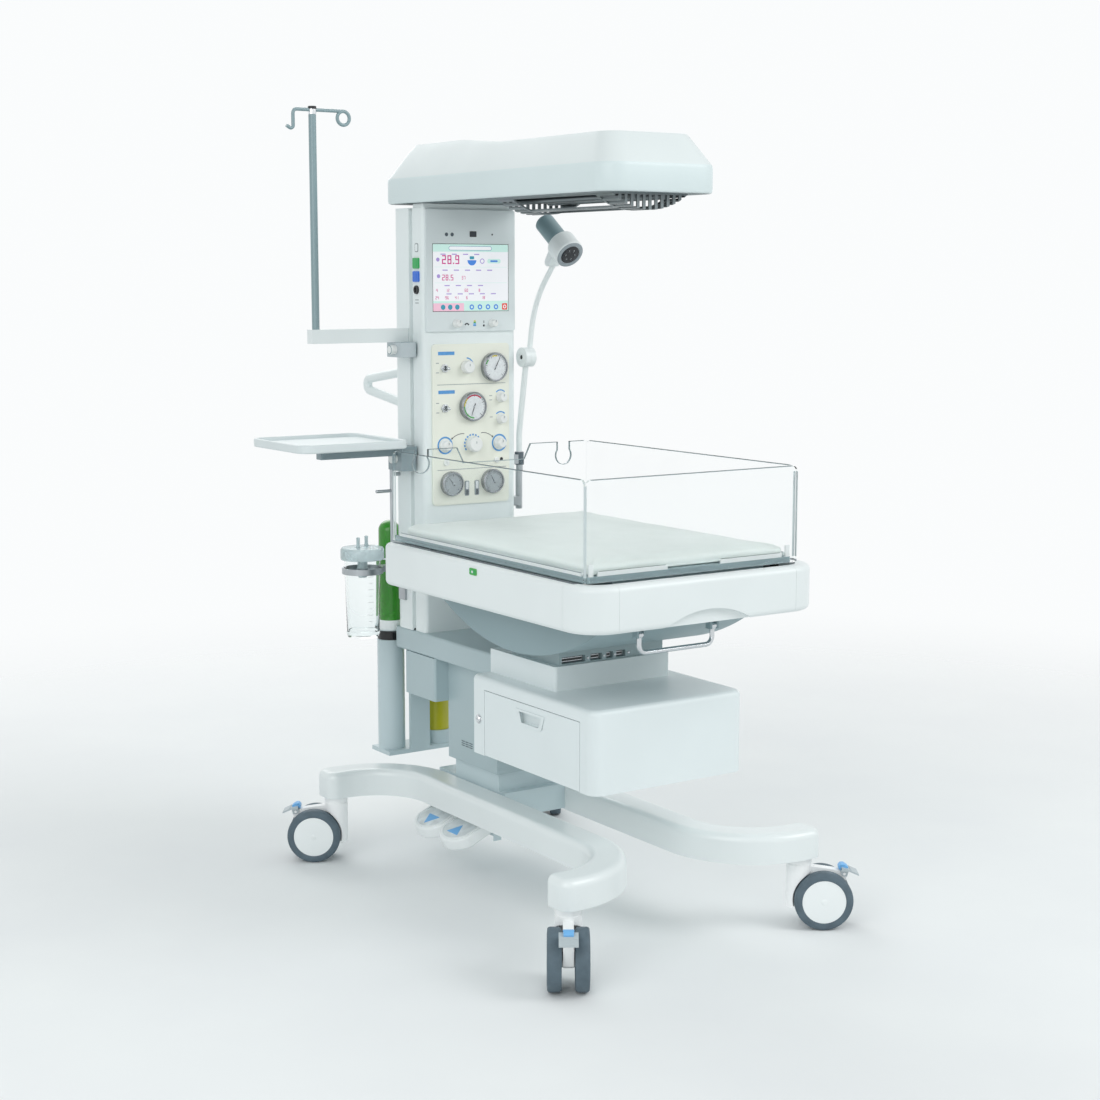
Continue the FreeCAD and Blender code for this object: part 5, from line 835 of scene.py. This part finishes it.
def add_bed_trim():
    """Hinge strips, corner posts, latch, painted shade of the vent channels and the bubble level of the bed.
    """
    rim_low, rim_high = box("bed_rim")
    trim = Piece("wall_hinge_strips", top_plane(DECK_TOP))
    for side in (-1, 1):
        u0, u1 = mirrored(side, HINGE_STRIP)
        trim.block((u0, u1, -470, 236, 2), 0.05, 6, "white")
        trim.block((u0 + 2, u1 - 2, -468, 234, 1), 6, 7.2, "grey")
    for u0, u1 in ((-232, -62), (70, 232)):
        trim.block((u0, u1, -488.8, -485.2, 1.2), 0.05, 9, "white")
        trim.block((u0 + 4, u1 - 4, -487.6, -486.2, 0.5), 9, 9.8, "dark")
    for side in (-1, 1):
        trim.block((side * 247 - 6, side * 247 + 6, -488.6, -484.6, 1.5), 0.05, 24, "white")
    trim.build("bed", bevel=0.6)
    # Painted shade: dark floors and black slots stand for the shade inside the vent channels
    vents = Piece("rim_vent_shade", top_plane(GROOVE_FLOOR))
    for side in (-1, 1):
        u0, u1 = mirrored(side, VENT_GROOVE)
        vents.block((u0, u1, -450, 200, 1), 0, 8, "dark")
        for i in range(42):
            y = -440 + i * 15
            vents.block((u0 + 0.6, u1 - 0.6, y, y + 6, 1, 2), 8, 14, "black")
    vents.block((-222, 222, -517, -496, 1), 0, 8, "dark")
    for i in range(29):
        x = -216 + i * 15
        vents.block((x, x + 6, -514, -498, 1, 2), 8, 14, "black")
    # Painted shade: a dark band with grey lines on the rim's top, in place of a shaded channel
    vents.on(top_plane(rim_high.z))
    for side in (-1, 1):
        u0, u1 = mirrored(side, RIM_SHADE_STRIP)
        vents.block((u0, u1, -478, 230, 2), 0.02, 0.12, "dark")
        for share in (0.3, 0.62):
            u = u0 + (u1 - u0) * share
            vents.block((u, u + 1.2, -474, 226, 0.5), 0.12, 0.2, "grey")
    vents.build("bed")
    level = Piece("bubble_level", left_plane(rim_low.x))
    middle, z = -LEVEL_Y, LEVEL_Z
    level.block((middle - 13, middle + 13, z - 7, z + 7, 3), 0.02, 2.4, "green_ink")
    level.block((middle - 10, middle + 10, z - 4, z + 4, 3.5), 2.4, 3.2, "green_socket")
    level.block((middle - 3, middle + 3, z - 2.6, z + 2.6, 2.4), 3.2, 3.6, "dial")
    level.build("bed", bevel=0.4)


def add_wall_edges():
    """Polished edges of the clear walls, shown by thin strips painted as their reflections, along the top
    and the ends of each sheet.
    """
    for name in ("left_wall", "right_wall"):
        low, high = box(name)
        edges = Piece(f"{name}_edges", left_plane((low.x + high.x) / 2))
        front, rear = -low.y, -high.y
        edges.strip(rear + 14, front - 14, high.z - 1.4, high.z, 2.6, "edge")
        edges.strip(front + 0.05, front + 0.45, WALL_FOOT, high.z - 12, 3, "pale_edge")
        edges.build(name)
    low, high = box("front_wall")
    edges = Piece("front_wall_edges", facing((low.y + high.y) / 2))
    edges.strip(low.x + 14, high.x - 14, high.z - 1.4, high.z, 2.6, "edge")
    for x in (low.x - 0.45, high.x + 0.05):
        edges.strip(x, x + 0.4, WALL_FOOT, high.z - 12, 3, "pale_edge")
    edges.build("front_wall")


def add_rear_wall_edges():
    """Polished edge of the rear wall, shown by strips painted as its reflection: its low middle, the slopes
    to its tabs and the tubing notches.
    """
    low, high = box("rear_wall")
    edges = Piece("rear_wall_edges", facing((low.y + high.y) / 2))
    band, half = 1.3, 2.6
    top, middle_top = high.z, 951
    notch, gap, radius = 192, 16.8, 21
    throat = math.degrees(math.acos(gap / radius))
    edges.strip(-82, 82, middle_top - band, middle_top, half, "edge")
    for side in (-1, 1):
        slope = [(82, middle_top - band), (82, middle_top), (99, top), (100, top - band)]
        edges.plate([(u * side, v) for u, v in slope], -half, half, "edge")
        for u0, u1 in ((99, notch - gap), (notch + gap, 250)):
            edges.strip(u0 * side, u1 * side, top - band, top, half, "edge")
        for u in (notch - gap - band, notch + gap):
            edges.strip(u * side, (u + band) * side, 966.6, top, half, "edge")
        hollow = sector(notch * side, 954, radius, radius + band, 180 - throat, 360 + throat, 32)
        edges.plate(hollow, -half, half, "edge")
    edges.build("bed")


def add_mattress():
    """Padded mattress: the solid's form, swollen a little under its cover."""
    source = NODES["mattress"]
    low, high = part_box("mattress")
    mesh = source.data.copy()
    mesh.name = "mattress_pad"
    pad = show("mattress_pad", mesh)
    centre = (low + high) / 2
    mesh.transform(Matrix.Translation(-centre))
    mesh.transform(Matrix.Diagonal((0.988, 0.99, 0.92, 1)))
    mesh.transform(Matrix.Translation(centre))
    mesh.transform(Matrix.Translation((0, 0, low.z - min(v.co.z for v in mesh.vertices))))
    remesh = pad.modifiers.new("remesh", "REMESH")
    remesh.mode = "VOXEL"
    remesh.voxel_size = 0.005
    settle(pad)
    swell(pad, cap=0.004)
    crease(pad, low.z + 0.008)
    smooth = pad.modifiers.new("smooth", "SUBSURF")
    smooth.levels = 1
    smooth.render_levels = 1
    pad.data.materials.clear()
    pad.data.materials.append(M["cover"])
    pad.data.polygons.foreach_set("use_smooth", [True] * len(pad.data.polygons))
    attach(pad, "bed")
    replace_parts(pad, "mattress")


def settle(piece):
    """Turn a piece's modifiers into its mesh."""
    graph = bpy.context.evaluated_depsgraph_get()
    mesh = bpy.data.meshes.new_from_object(piece.evaluated_get(graph))
    piece.modifiers.clear()
    piece.data = mesh


def swell(piece, cap):
    """Inflate a piece as cloth, with its underside held and each point's way capped."""
    mesh = piece.data
    before = [v.co.copy() for v in mesh.vertices]
    floor = min(p.z for p in before)
    held = piece.vertex_groups.new(name="underside")
    held.add([i for i, p in enumerate(before) if p.z < floor + 0.003], 1.0, "REPLACE")
    settings = piece.modifiers.new("cloth", "CLOTH").settings
    settings.quality = 4
    settings.mass = 0.3
    settings.tension_stiffness = 20
    settings.compression_stiffness = 20
    settings.bending_stiffness = 2
    settings.use_pressure = True
    settings.uniform_pressure_force = 4
    settings.vertex_group_mass = held.name
    settings.effector_weights.gravity = 0
    scene = bpy.context.scene
    for step in range(1, 21):
        scene.frame_set(step)
    settle(piece)
    scene.frame_set(1)
    for vertex, old in zip(piece.data.vertices, before):
        way = vertex.co - old
        if way.length > cap:
            vertex.co = old + way * (cap / way.length)


def crease(piece, above):
    """Long shallow creases in the top of a cover."""
    for vertex in piece.data.vertices:
        if vertex.co.z > above:
            place = Vector((vertex.co.x * 5, vertex.co.y * 14, 0.3))
            vertex.co.z += 0.0011 * noise.noise(place) + 0.0006 * noise.noise(place * 3.1)


# Lower body, jar and cylinders

def add_ports():
    """Connector frames and sockets in the front of the cradle."""
    ports = Piece("connector_ports", front_plane("port_block"))
    inside = -11.6
    for x0, x1 in ((-128, -68), (-55, -25), (-14, 4), (12, 36)):
        ports.block((x0 + 0.4, x1 - 0.4, 568.4, 581.6, 0.6), inside, inside + 1.2, "dark")
        ports.block((x0 + 3, x1 - 3, 571, 579, 1.2), inside + 1.2, inside + 5, "steel")
        ports.block((x0 + 4.4, x1 - 4.4, 572.4, 577.6, 0.8), inside + 5, inside + 5.3, "black")
    for x in (-62, -20, 8, 44):
        ports.turned(x, 575, [(0, 0.8), (1, 0.8), (2.6, 1.4), (3.2, 0.05)], "steel", 20)
    ports.build("carriage", bevel=0.2)


def add_cylinders():
    """Green and yellow gas cylinders with collars, standing in their cups."""
    floor = box("gas_cylinders")[0].z
    plane = top_plane(0)
    green = Piece("green_cylinder", plane)
    foot = [(0, floor), (22, floor), (26.6, floor + 4), (26.6, 553)]
    flank = [(26.6, 553), (26.65, 769), *dome(26.65, 769, 24)]
    stripe = [(26.64, 700), (26.69, 701), (26.69, 703), (26.64, 704)]
    for profile, material in ((foot, "disc"), (flank, "green_paint"), (stripe, "disc")):
        green.turned(GREEN_X, CYLINDER_Y, profile, material, 64)
    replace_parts(green.build("carriage"), "gas_cylinders")
    yellow = Piece("yellow_cylinder", plane)
    flank = [(0, floor), (30, floor), (33.9, floor + 4), (33.9, 656)]
    yellow.turned(YELLOW_X, CYLINDER_Y, flank + dome(33.9, 656, 31), "yellow_paint", 64)
    yellow.build("carriage")


def dome(radius, base, rise):
    """Profile of a round shoulder up to the axis."""
    steps = 8
    angles = [math.pi / 2 * i / steps for i in range(1, steps + 1)]
    return [(radius * math.cos(a), base + rise * math.sin(a)) for a in angles]


def add_jar():
    """Suction jar: a clear tapered jar with scale marks, a ribbed lid, nozzles and a float tube."""
    x, y = JAR_PLACE
    plane = top_plane(0)
    jar = Piece("jar_glass", plane)
    outer = [(0, 533.5), (30, 533.5), (36, 535), (37.8, 540), (42.8, 717)]
    inner = [(40, 717), (35.4, 543), (33, 539.5), (0, 539.5)]
    jar.turned(x, y, outer + inner, "jar", 64)
    jar.turned(x, y, [(37.9, 541), (39, 543), (39, 546), (38.1, 548)], "jar", 64)
    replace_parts(jar.build("carriage"), "suction_jar")
    lid = Piece("jar_lid", plane)
    rim = [(0, 718.4), (41, 718.4), (43.4, 717.2), (49.8, 717.2), (50.8, 719)]
    crown = [(50.8, 740), (48, 744.6), (40, 745.8), (0, 745.8)]
    lid.turned(x, y, rim + crown, "lid", 72)
    for u, v in around(x, y, 50.2, 36):
        lid.turned(u, v, stud(0.75, 721, 738), "lid", 8)
    turn = math.radians(30)
    for side in (-1, 1):
        u, v = x + 18 * side * math.cos(turn), y + 18 * side * math.sin(turn)
        spout = [(5, 745.5), (5, 750), (4, 751), (4, 766), (5, 767), (3.4, 769.6), (2.6, 769.6), (2.6, 748)]
        lid.turned(u, v, spout, "lid", 24)
    lid.turned(x, y, [(0, 674), (9, 674), (11.6, 678), (11.6, 718.4)], "lid", 40)
    lid.turned(x, y, [(11.7, 690), (12.2, 691), (12.2, 694), (11.7, 695)], "grey", 40)
    lid.build("carriage")
    marks = Piece("jar_scale", Plane((x, y - 41.8, 0), (1, 0, 0), (0, 0, 1)))
    for i in range(9):
        width = 7 if i % 2 == 0 else 4
        z = 560 + i * 15
        lean = 0.0282 * (717 - z) + 0.9
        marks.block((-width, width, z - 0.3, z + 0.3, 0.2, 2), -lean, -lean + 0.25, "grey_ink")
    marks.build("carriage")


def add_strap():
    """Black strap with a buckle round the tall cylinder."""
    strap = Piece("cylinder_strap", top_plane(0))
    strap.turned(GREEN_X, CYLINDER_Y, washer(27.2, 31.2, 506, 528), "black", 64)
    strap.on(facing(498.6))
    strap.block((GREEN_X - 14, GREEN_X + 14, 508, 526, 2), -2, 2.4, "black")
    strap.build("carriage", bevel=0.6)


def add_lamp():
    """Barrel cover, lens and lights of the lamp, and the caps of its elbow and post. The barrel's grey-teal
    is darkened as painted shade under the hood, and the dark lens disc is painted shade of the lamp's
    inside.
    """
    drop = math.radians(LAMP_DROP)
    across = Vector((0, -math.sin(drop), math.cos(drop)))
    head = Plane(pin_place("lamp_tip") + across * 55, (1, 0, 0), across)
    barrel = Piece("lamp_barrel_cover", head)
    # Grey-teal barrel, darkened as painted shade under the hood
    barrel.turned(0, 0, [(0, -80.4), (19.3, -80.4), (23.4, -76.3), (23.4, -2.4)], "lamp_barrel")
    barrel.build("lamp_head")
    lens = Piece("lamp_lens", head)
    face = 50
    glass = [(0, face + 1.2), (14, face + 1), (22, face + 0.5), (23, face + 0.05)]
    # Near-black disc: painted shade of the lamp's inside
    lens.turned(0, 0, glass, "lens_shade")
    rim = [(23.2, face + 0.05), (23.8, face + 1.4), (31, face + 1), (32.4, face + 0.05)]
    lens.turned(0, 0, rim, "grey", 64)
    for u, v in around(0, 0, 12, 6):
        lens.turned(u, v, [(0, face + 1.9), (1.8, face + 1.8), (2.4, face + 0.9)], "lens", 16)
    lens.build("lamp_head")
    elbow = pin_place("lamp_elbow")
    cap = Piece("lamp_elbow_cap", left_plane(elbow.x - 14))
    cap.turned(-elbow.y, elbow.z, [(0, 0.6), (4.4, 0.6), (5, 0.1)], "black", 32)
    cap.turned(-elbow.y, elbow.z, [(8, 0.1), (8.6, 1.6), (20, 1.4), (22.4, 0.1)], "white")
    cap.build("lamp_pole")
    collar = Piece("lamp_post_collar", top_plane(0))
    ring = [(10.6, 924.6), (10.9, 925), (10.9, 954), (10.6, 954.6)]
    collar.turned(*LAMP_POST, ring, "dark", 40)
    collar.build("carriage")


def add_heater():
    """Reflector above the heating rods."""
    low, high = box("heater_unit")
    reflector = Piece("heater_reflector", facing(low.y + 16))
    middle = high.z - 34
    upper = arc(0, middle, 62, 40, 140, 20)
    lower = arc(0, middle, 60.4, 140, 40, 20)
    depth = high.y - low.y - 32
    reflector.plate(upper + lower, -depth, 0, "reflector")
    reflector.build("hood")


def add_drawer_trim():
    """Raised frame round the drawer's pull and the ring of its lock."""
    plane = left_plane(box("drawer")[0].x)
    trim = Piece("drawer_pull_frame", plane)
    middle = 194.5
    outer = pull_outline(middle, 54, 470, 436, 9)
    inner = pull_outline(middle, 42, 464.6, 442, 5)
    trim.band(outer, inner, 0.02, 1.8, "cabinet")
    trim.build("drawer", bevel=0.6)
    lock = Piece("lock_ring", plane)
    ring = [(8.3, 0.05), (11, 0.05), (10.6, 1.4), (8.5, 1.4), (8.3, 0.05)]
    lock.turned(-LOCK_Y, LOCK_Z, ring, "chrome", 40)
    lock.build("carriage")


def pull_outline(middle, half, top, bottom, corner):
    """A pull's outline: a flat top, leaning sides and round lower corners."""
    lean = 0.82 * half
    right = arc(middle + lean - corner, bottom + corner, corner, 270, 360, 6)
    left = arc(middle - lean + corner, bottom + corner, corner, 180, 270, 6)
    return [(middle - half, top), *left, *right, (middle + half, top)]


def add_housing_vents():
    """Three short rows of vent slots low on the left of the lift housing, drawn as dark patches of painted
    shade under a pale lip.
    """
    vents = Piece("housing_vent_shade", left_plane(box("lift_housing")[0].x))
    for row in range(3):
        z = 296 + row * 5
        for i in range(3):
            u = -246 + i * 17
            # Painted shade of each slot's opening
            vents.block((u, u + 14, z, z + 2.2, 1, 3), 0.02, 0.3, "dark")
            vents.block((u, u + 14, z + 2.2, z + 3, 0.4, 3), 0.02, 0.6, "chassis")
    vents.build("carriage")


def add_shelf():
    """Instrument shelf: a tray with a raised lip on a metal arm with a rail clamp."""
    plane = top_plane(0)
    tray = Piece("shelf_tray", plane)
    floor, top = 981, 1000
    outer = round_rect(-448.5, -170, 331, 599, 32, 10)
    inner = round_rect(-439.5, -179, 340, 590, 23, 10)
    tray.band(outer, inner, floor, top, "shelf")
    tray.block((-444, -175, 336, 594, 27, 10), floor + 0.5, top - 8, "shelf")
    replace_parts(tray.build("shelf", bevel=3), "shelf")
    bracket = Piece("shelf_bracket", plane)
    bracket.block((-367.4, -168, 395.6, 420.4, 1), 959.6, floor - 0.2, "clamp")
    bracket.block(CLAMP, 924.6, floor - 0.2, "clamp")
    add_knob_cap(bracket, 952.5)
    bracket.build("shelf", bevel=0.5)


def add_iv_arm():
    """Cover of the infusion pole's arm and clamp, with a white knob cap."""
    arm = Piece("iv_arm_cover", top_plane(0))
    arm.block((-379.4, -130.6, 408.6, 431.4, 1), 1219.6, 1251.4, "white")
    arm.block(CLAMP, 1185.6, 1219.6, "lever")
    add_knob_cap(arm, 1203)
    arm.build("iv_pole", bevel=0.5)


def add_knob_cap(piece, z):
    """White cap over a clamp's knob, on the piece's last plane."""
    piece.on(left_plane(CLAMP_KNOB_X))
    piece.turned(-CLAMP_KNOB_Y, z, [(0, 0.6), (8, 0.6), (10.3, -1.5), (10.3, -15.4)], "knob", 32)


def add_iv_details():
    """Black cap and bright cross socket at the top of the infusion pole."""
    top = box("iv_pole")[1].z
    fittings = Piece("iv_pole_fittings", top_plane(top))
    cap = [(8.6, -6), (9.4, -5.6), (9.4, -1), (8.6, -0.2)]
    fittings.turned(*IV_POLE, cap, "black", 40)
    socket = [(8.6, -18), (9.3, -17.4), (9.3, -6.6), (8.6, -6)]
    fittings.turned(*IV_POLE, socket, "chrome", 40)
    fittings.build("iv_pole")


# Hood, column and handles

def half_ring(half, front, rear, corner):
    """Right half of a rounded outline, from the middle of its front to the middle of its rear."""
    steps, stations = 10, 24
    ahead = arc(half - corner, front + corner, corner, 270, 360, steps)
    behind = arc(half - corner, rear - corner, corner, 0, 90, steps)
    start, end = ahead[-1][1], behind[0][1]
    side = [(half, start + (end - start) * i / stations) for i in range(1, stations)]
    return [(0, front), *ahead, *side, *behind, (0, rear)]


def hood_ring(level, inset_x, inset_front, inset_rear, corner):
    """Right half of the hood's outline at one level, drawn in from its band."""
    line = half_ring(HOOD_HALF - inset_x, HOOD_FRONT + inset_front, HOOD_REAR - inset_rear, corner)
    return [(x, y, level) for x, y in line]


def hood_top(y):
    """Height of the waved top, which is lower over the bed than over the column."""
    share = min(max((y - 40) / 210, 0), 1)
    return 1653 + 14 * share * share * (3 - 2 * share)


def add_hood():
    """Hood moulding: a mouth for the heater, a rounded band, a tapering crown and a waved top. Its band and
    underside take darker tones as painted shade.
    """
    mouth = half_ring(92, -336, 80, 10)
    rings = [[(x, y, level) for x, y in mouth] for level in (1580, HOOD_BOTTOM)]
    rings.append(hood_ring(HOOD_BOTTOM, 5, 5, 5, 45))
    rings.append(hood_ring(HOOD_BOTTOM + 1.6, 1.6, 1.6, 1.6, 48.4))
    rings.append(hood_ring(HOOD_BOTTOM + 6, 0, 0, 0, 50))
    for level, share in ((1584, 0), (1588, 0.012), (1591, 0.045), (1594, 0.09), (HOOD_SHOULDER, 1)):
        rings.append(hood_ring(level, 30 * share, 42 * share, 46 * share, 50 - 7 * share))
    crown = hood_ring(HOOD_CROWN, 48, 60, 64, 36)
    top = []
    for low, high in zip(rings[-1], crown):
        level = hood_top(low[1])
        share = (level - HOOD_SHOULDER) / (HOOD_CROWN - HOOD_SHOULDER)
        top.append(tuple(a + (b - a) * share for a, b in zip(low, high)))
    rings.append(top)
    hood = Piece("hood_moulding")
    count = len(mouth)
    # Painted shade: the mouth and underside take the dark underside tone, and the band below the belt a tone
    # a little darker than the crown
    for first, last, tone in ((0, 2, "hood_underside_shade"), (2, 7, "hood_band_shade"), (7, 10, "hood")):
        strip = rings[first:last + 1]
        starts = [r * count + i for r in range(last - first) for i in range(count - 1)]
        for side in (-1, 1):
            points = [Vector((x * side, y, z)) * MM for ring in strip for x, y, z in ring]
            hood.add(points, [[i, i + 1, i + count + 1, i + count] for i in starts], tone)
    for ring, tone in ((rings[0], "hood_underside_shade"), (rings[-1], "hood")):
        points = [Vector((x * side, y, z)) * MM for side in (-1, 1) for x, y, z in ring]
        hood.add(points, [[i, i + 1, count + i + 1, count + i] for i in range(count - 1)], tone)
    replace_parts(hood.build("hood", bevel=4), "hood_shell")
    pivot = pin_place("hood_swivel")
    neck = Piece("hood_neck", top_plane(0))
    neck.turned(pivot.x, pivot.y, [(24, pivot.z + 0.4), (24, HOOD_BOTTOM + 0.5)], "grey")
    neck.build("hood")


def add_column_trim():
    """Collar between the column and the hood, and pale liners at the back of the rail grooves."""
    low, high = box("column_housing")
    collar = Piece("column_collar", top_plane(high.z))
    gap = HOOD_BOTTOM - high.z - 0.8
    left, right, front, rear = low.x + 1, high.x - 1, low.y + 0.5, 397
    collar.block((left, right, front, front + 8, 3), 0.05, gap, "column")
    for x in (left, right - 6):
        collar.block((x, x + 6, front + 4, rear, 2), 0.05, gap, "column")
    collar.build("carriage", bevel=0.6)
    back = facing(406.6)
    liner = Piece("rail_liners", back)
    for x in (-125.8, 110):
        liner.block((x, x + 15.8, low.z + 4, high.z - 5, 1), -0.4, 0.4, "column")
    liner.build("carriage")


def add_handles():
    """Rear grab handles: bars that leave the cover square, run together and close in a loop."""
    handles = Piece("grab_handles")
    rear, top, bottom = 484, 1148, 1070
    loop = arc(668.5, (top + bottom) / 2, 15, 82.3, -82.3, 16)
    for x in (-90, 90):
        path = [(rear - 1, top), (rear + 10, top), *loop, (rear + 10, bottom), (rear - 1, bottom)]
        handles.tube([(x, y, z) for y, z in path], 11, "column", 24)
    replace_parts(handles.build("carriage"), "rear_handles")


def add_large_knobs():
    """Suction and mix knobs at their photographed size, with a ridged side."""
    plane = front_plane("gas_panel")
    for knob, radius in (("suction_knob", 15), ("mix_knob", 18)):
        spot = pin_place(f"{knob}_turn")
        face = plane.origin.y - box(knob)[0].y
        cap = Piece(f"{knob}_cap", plane)
        top = [(0, face), (radius - 3, face), (radius - 1.4, face - 1.4)]
        foot = [(radius - 0.4, 1.4), (radius - 1, 0.6)]
        cap.turned(spot.x, spot.z, top + foot, "knob", 60)
        for u, v in around(spot.x, spot.z, radius - 0.8, 30):
            cap.turned(u, v, [(0, 1.6), (0.9, 1.6), (0.7, face - 2.4), (0, face - 2)], "knob", 8)
        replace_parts(cap.build(knob), knob)


# Stage

def add_stage():
    """Pale floor that fades into the backdrop, soft lamps and the photo's camera."""
    mesh = bpy.data.meshes.new("floor")
    form = bmesh.new()
    bmesh.ops.create_circle(form, cap_ends=True, segments=96, radius=14)
    form.to_mesh(mesh)
    form.free()
    floor = show("floor", mesh)
    mesh.materials.append(floor_material())
    add_world()
    add_lamp_panel("key_lamp", (2.6, -3.4, 3.6), 2.6, 84)
    add_lamp_panel("fill_lamp", (-3.6, -2.2, 2.6), 3.0, 58)
    add_lamp_panel("back_lamp", (0.6, 3.6, 3.4), 2.6, 48)
    camera = show("camera", bpy.data.cameras.new("camera"))
    camera.location = (-2.33392, -3.45424, 1.36729)
    camera.rotation_euler = (math.radians(81.891), 0, math.radians(-33.895))
    camera.data.sensor_width = 36
    camera.data.lens = 62.645
    bpy.context.scene.camera = camera
    bpy.context.scene.view_settings.view_transform = "Standard"


def floor_material():
    """Pale paint that turns clear away from the object."""
    finish = Finish("floor_paint", Roughness=0.8, Specular_IOR_Level=0.1)
    finish.colour(finish.noise(2, 4), (0.3, srgb(238, 240, 241)), (0.7, srgb(242, 244, 244)))
    gradient = finish.node("VectorMath")
    gradient.operation = "LENGTH"
    finish.link(finish.coords, gradient.inputs[0])
    fade = finish.node("MapRange", From_Min=1.0, From_Max=4.0)
    fade.interpolation_type = "SMOOTHSTEP"
    finish.link(gradient.outputs["Value"], fade.inputs["Value"])
    nothing = finish.node("BsdfTransparent")
    mix = finish.node("MixShader")
    finish.link(fade.outputs["Result"], mix.inputs["Fac"])
    finish.link(finish.shader.outputs["BSDF"], mix.inputs[1])
    finish.link(nothing.outputs["BSDF"], mix.inputs[2])
    output = next(n for n in finish.tree.nodes if n.type == "OUTPUT_MATERIAL")
    finish.link(mix.outputs["Shader"], output.inputs["Surface"])
    return finish.material


def add_world():
    """White backdrop for the eye, and a softer even light for the surfaces."""
    world = bpy.data.worlds.new("studio")
    bpy.context.scene.world = world
    world.use_nodes = True
    nodes, link = world.node_tree.nodes, world.node_tree.links.new
    light = set_inputs(nodes["Background"], {"Color": (0.93, 0.985, 0.995, 1), "Strength": 0.6})
    backdrop = nodes.new("ShaderNodeBackground")
    set_inputs(backdrop, {"Color": (0.96, 0.975, 0.98, 1), "Strength": 1.0})
    path = nodes.new("ShaderNodeLightPath")
    seen = path.outputs["Is Camera Ray"]
    for ray in ("Is Glossy Ray", "Is Transmission Ray"):
        either = nodes.new("ShaderNodeMath")
        either.operation = "MAXIMUM"
        link(seen, either.inputs[0])
        link(path.outputs[ray], either.inputs[1])
        seen = either.outputs["Value"]
    mix = nodes.new("ShaderNodeMixShader")
    link(seen, mix.inputs["Fac"])
    link(light.outputs["Background"], mix.inputs[1])
    link(backdrop.outputs["Background"], mix.inputs[2])
    link(mix.outputs["Shader"], nodes["World Output"].inputs["Surface"])


def add_lamp_panel(name, place, size, power):
    """A soft square lamp that faces the middle of the object."""
    data = bpy.data.lights.new(name, "AREA")
    data.size = size
    data.energy = power
    panel = show(name, data)
    panel.location = place
    panel.rotation_euler = (Vector((0, 0, 0.9)) - Vector(place)).to_track_quat("-Z", "Y").to_euler()


paint_frame()
add_screen()
add_control_panel()
add_gas_panel()
add_knob_marks()
add_side_sockets()
add_casters()
add_pedals()
add_bed_trim()
add_wall_edges()
add_rear_wall_edges()
add_mattress()
add_ports()
add_cylinders()
add_jar()
add_strap()
add_lamp()
add_heater()
add_drawer_trim()
add_housing_vents()
add_shelf()
add_iv_arm()
add_hood()
add_column_trim()
add_handles()
add_large_knobs()
add_iv_details()
add_stage()
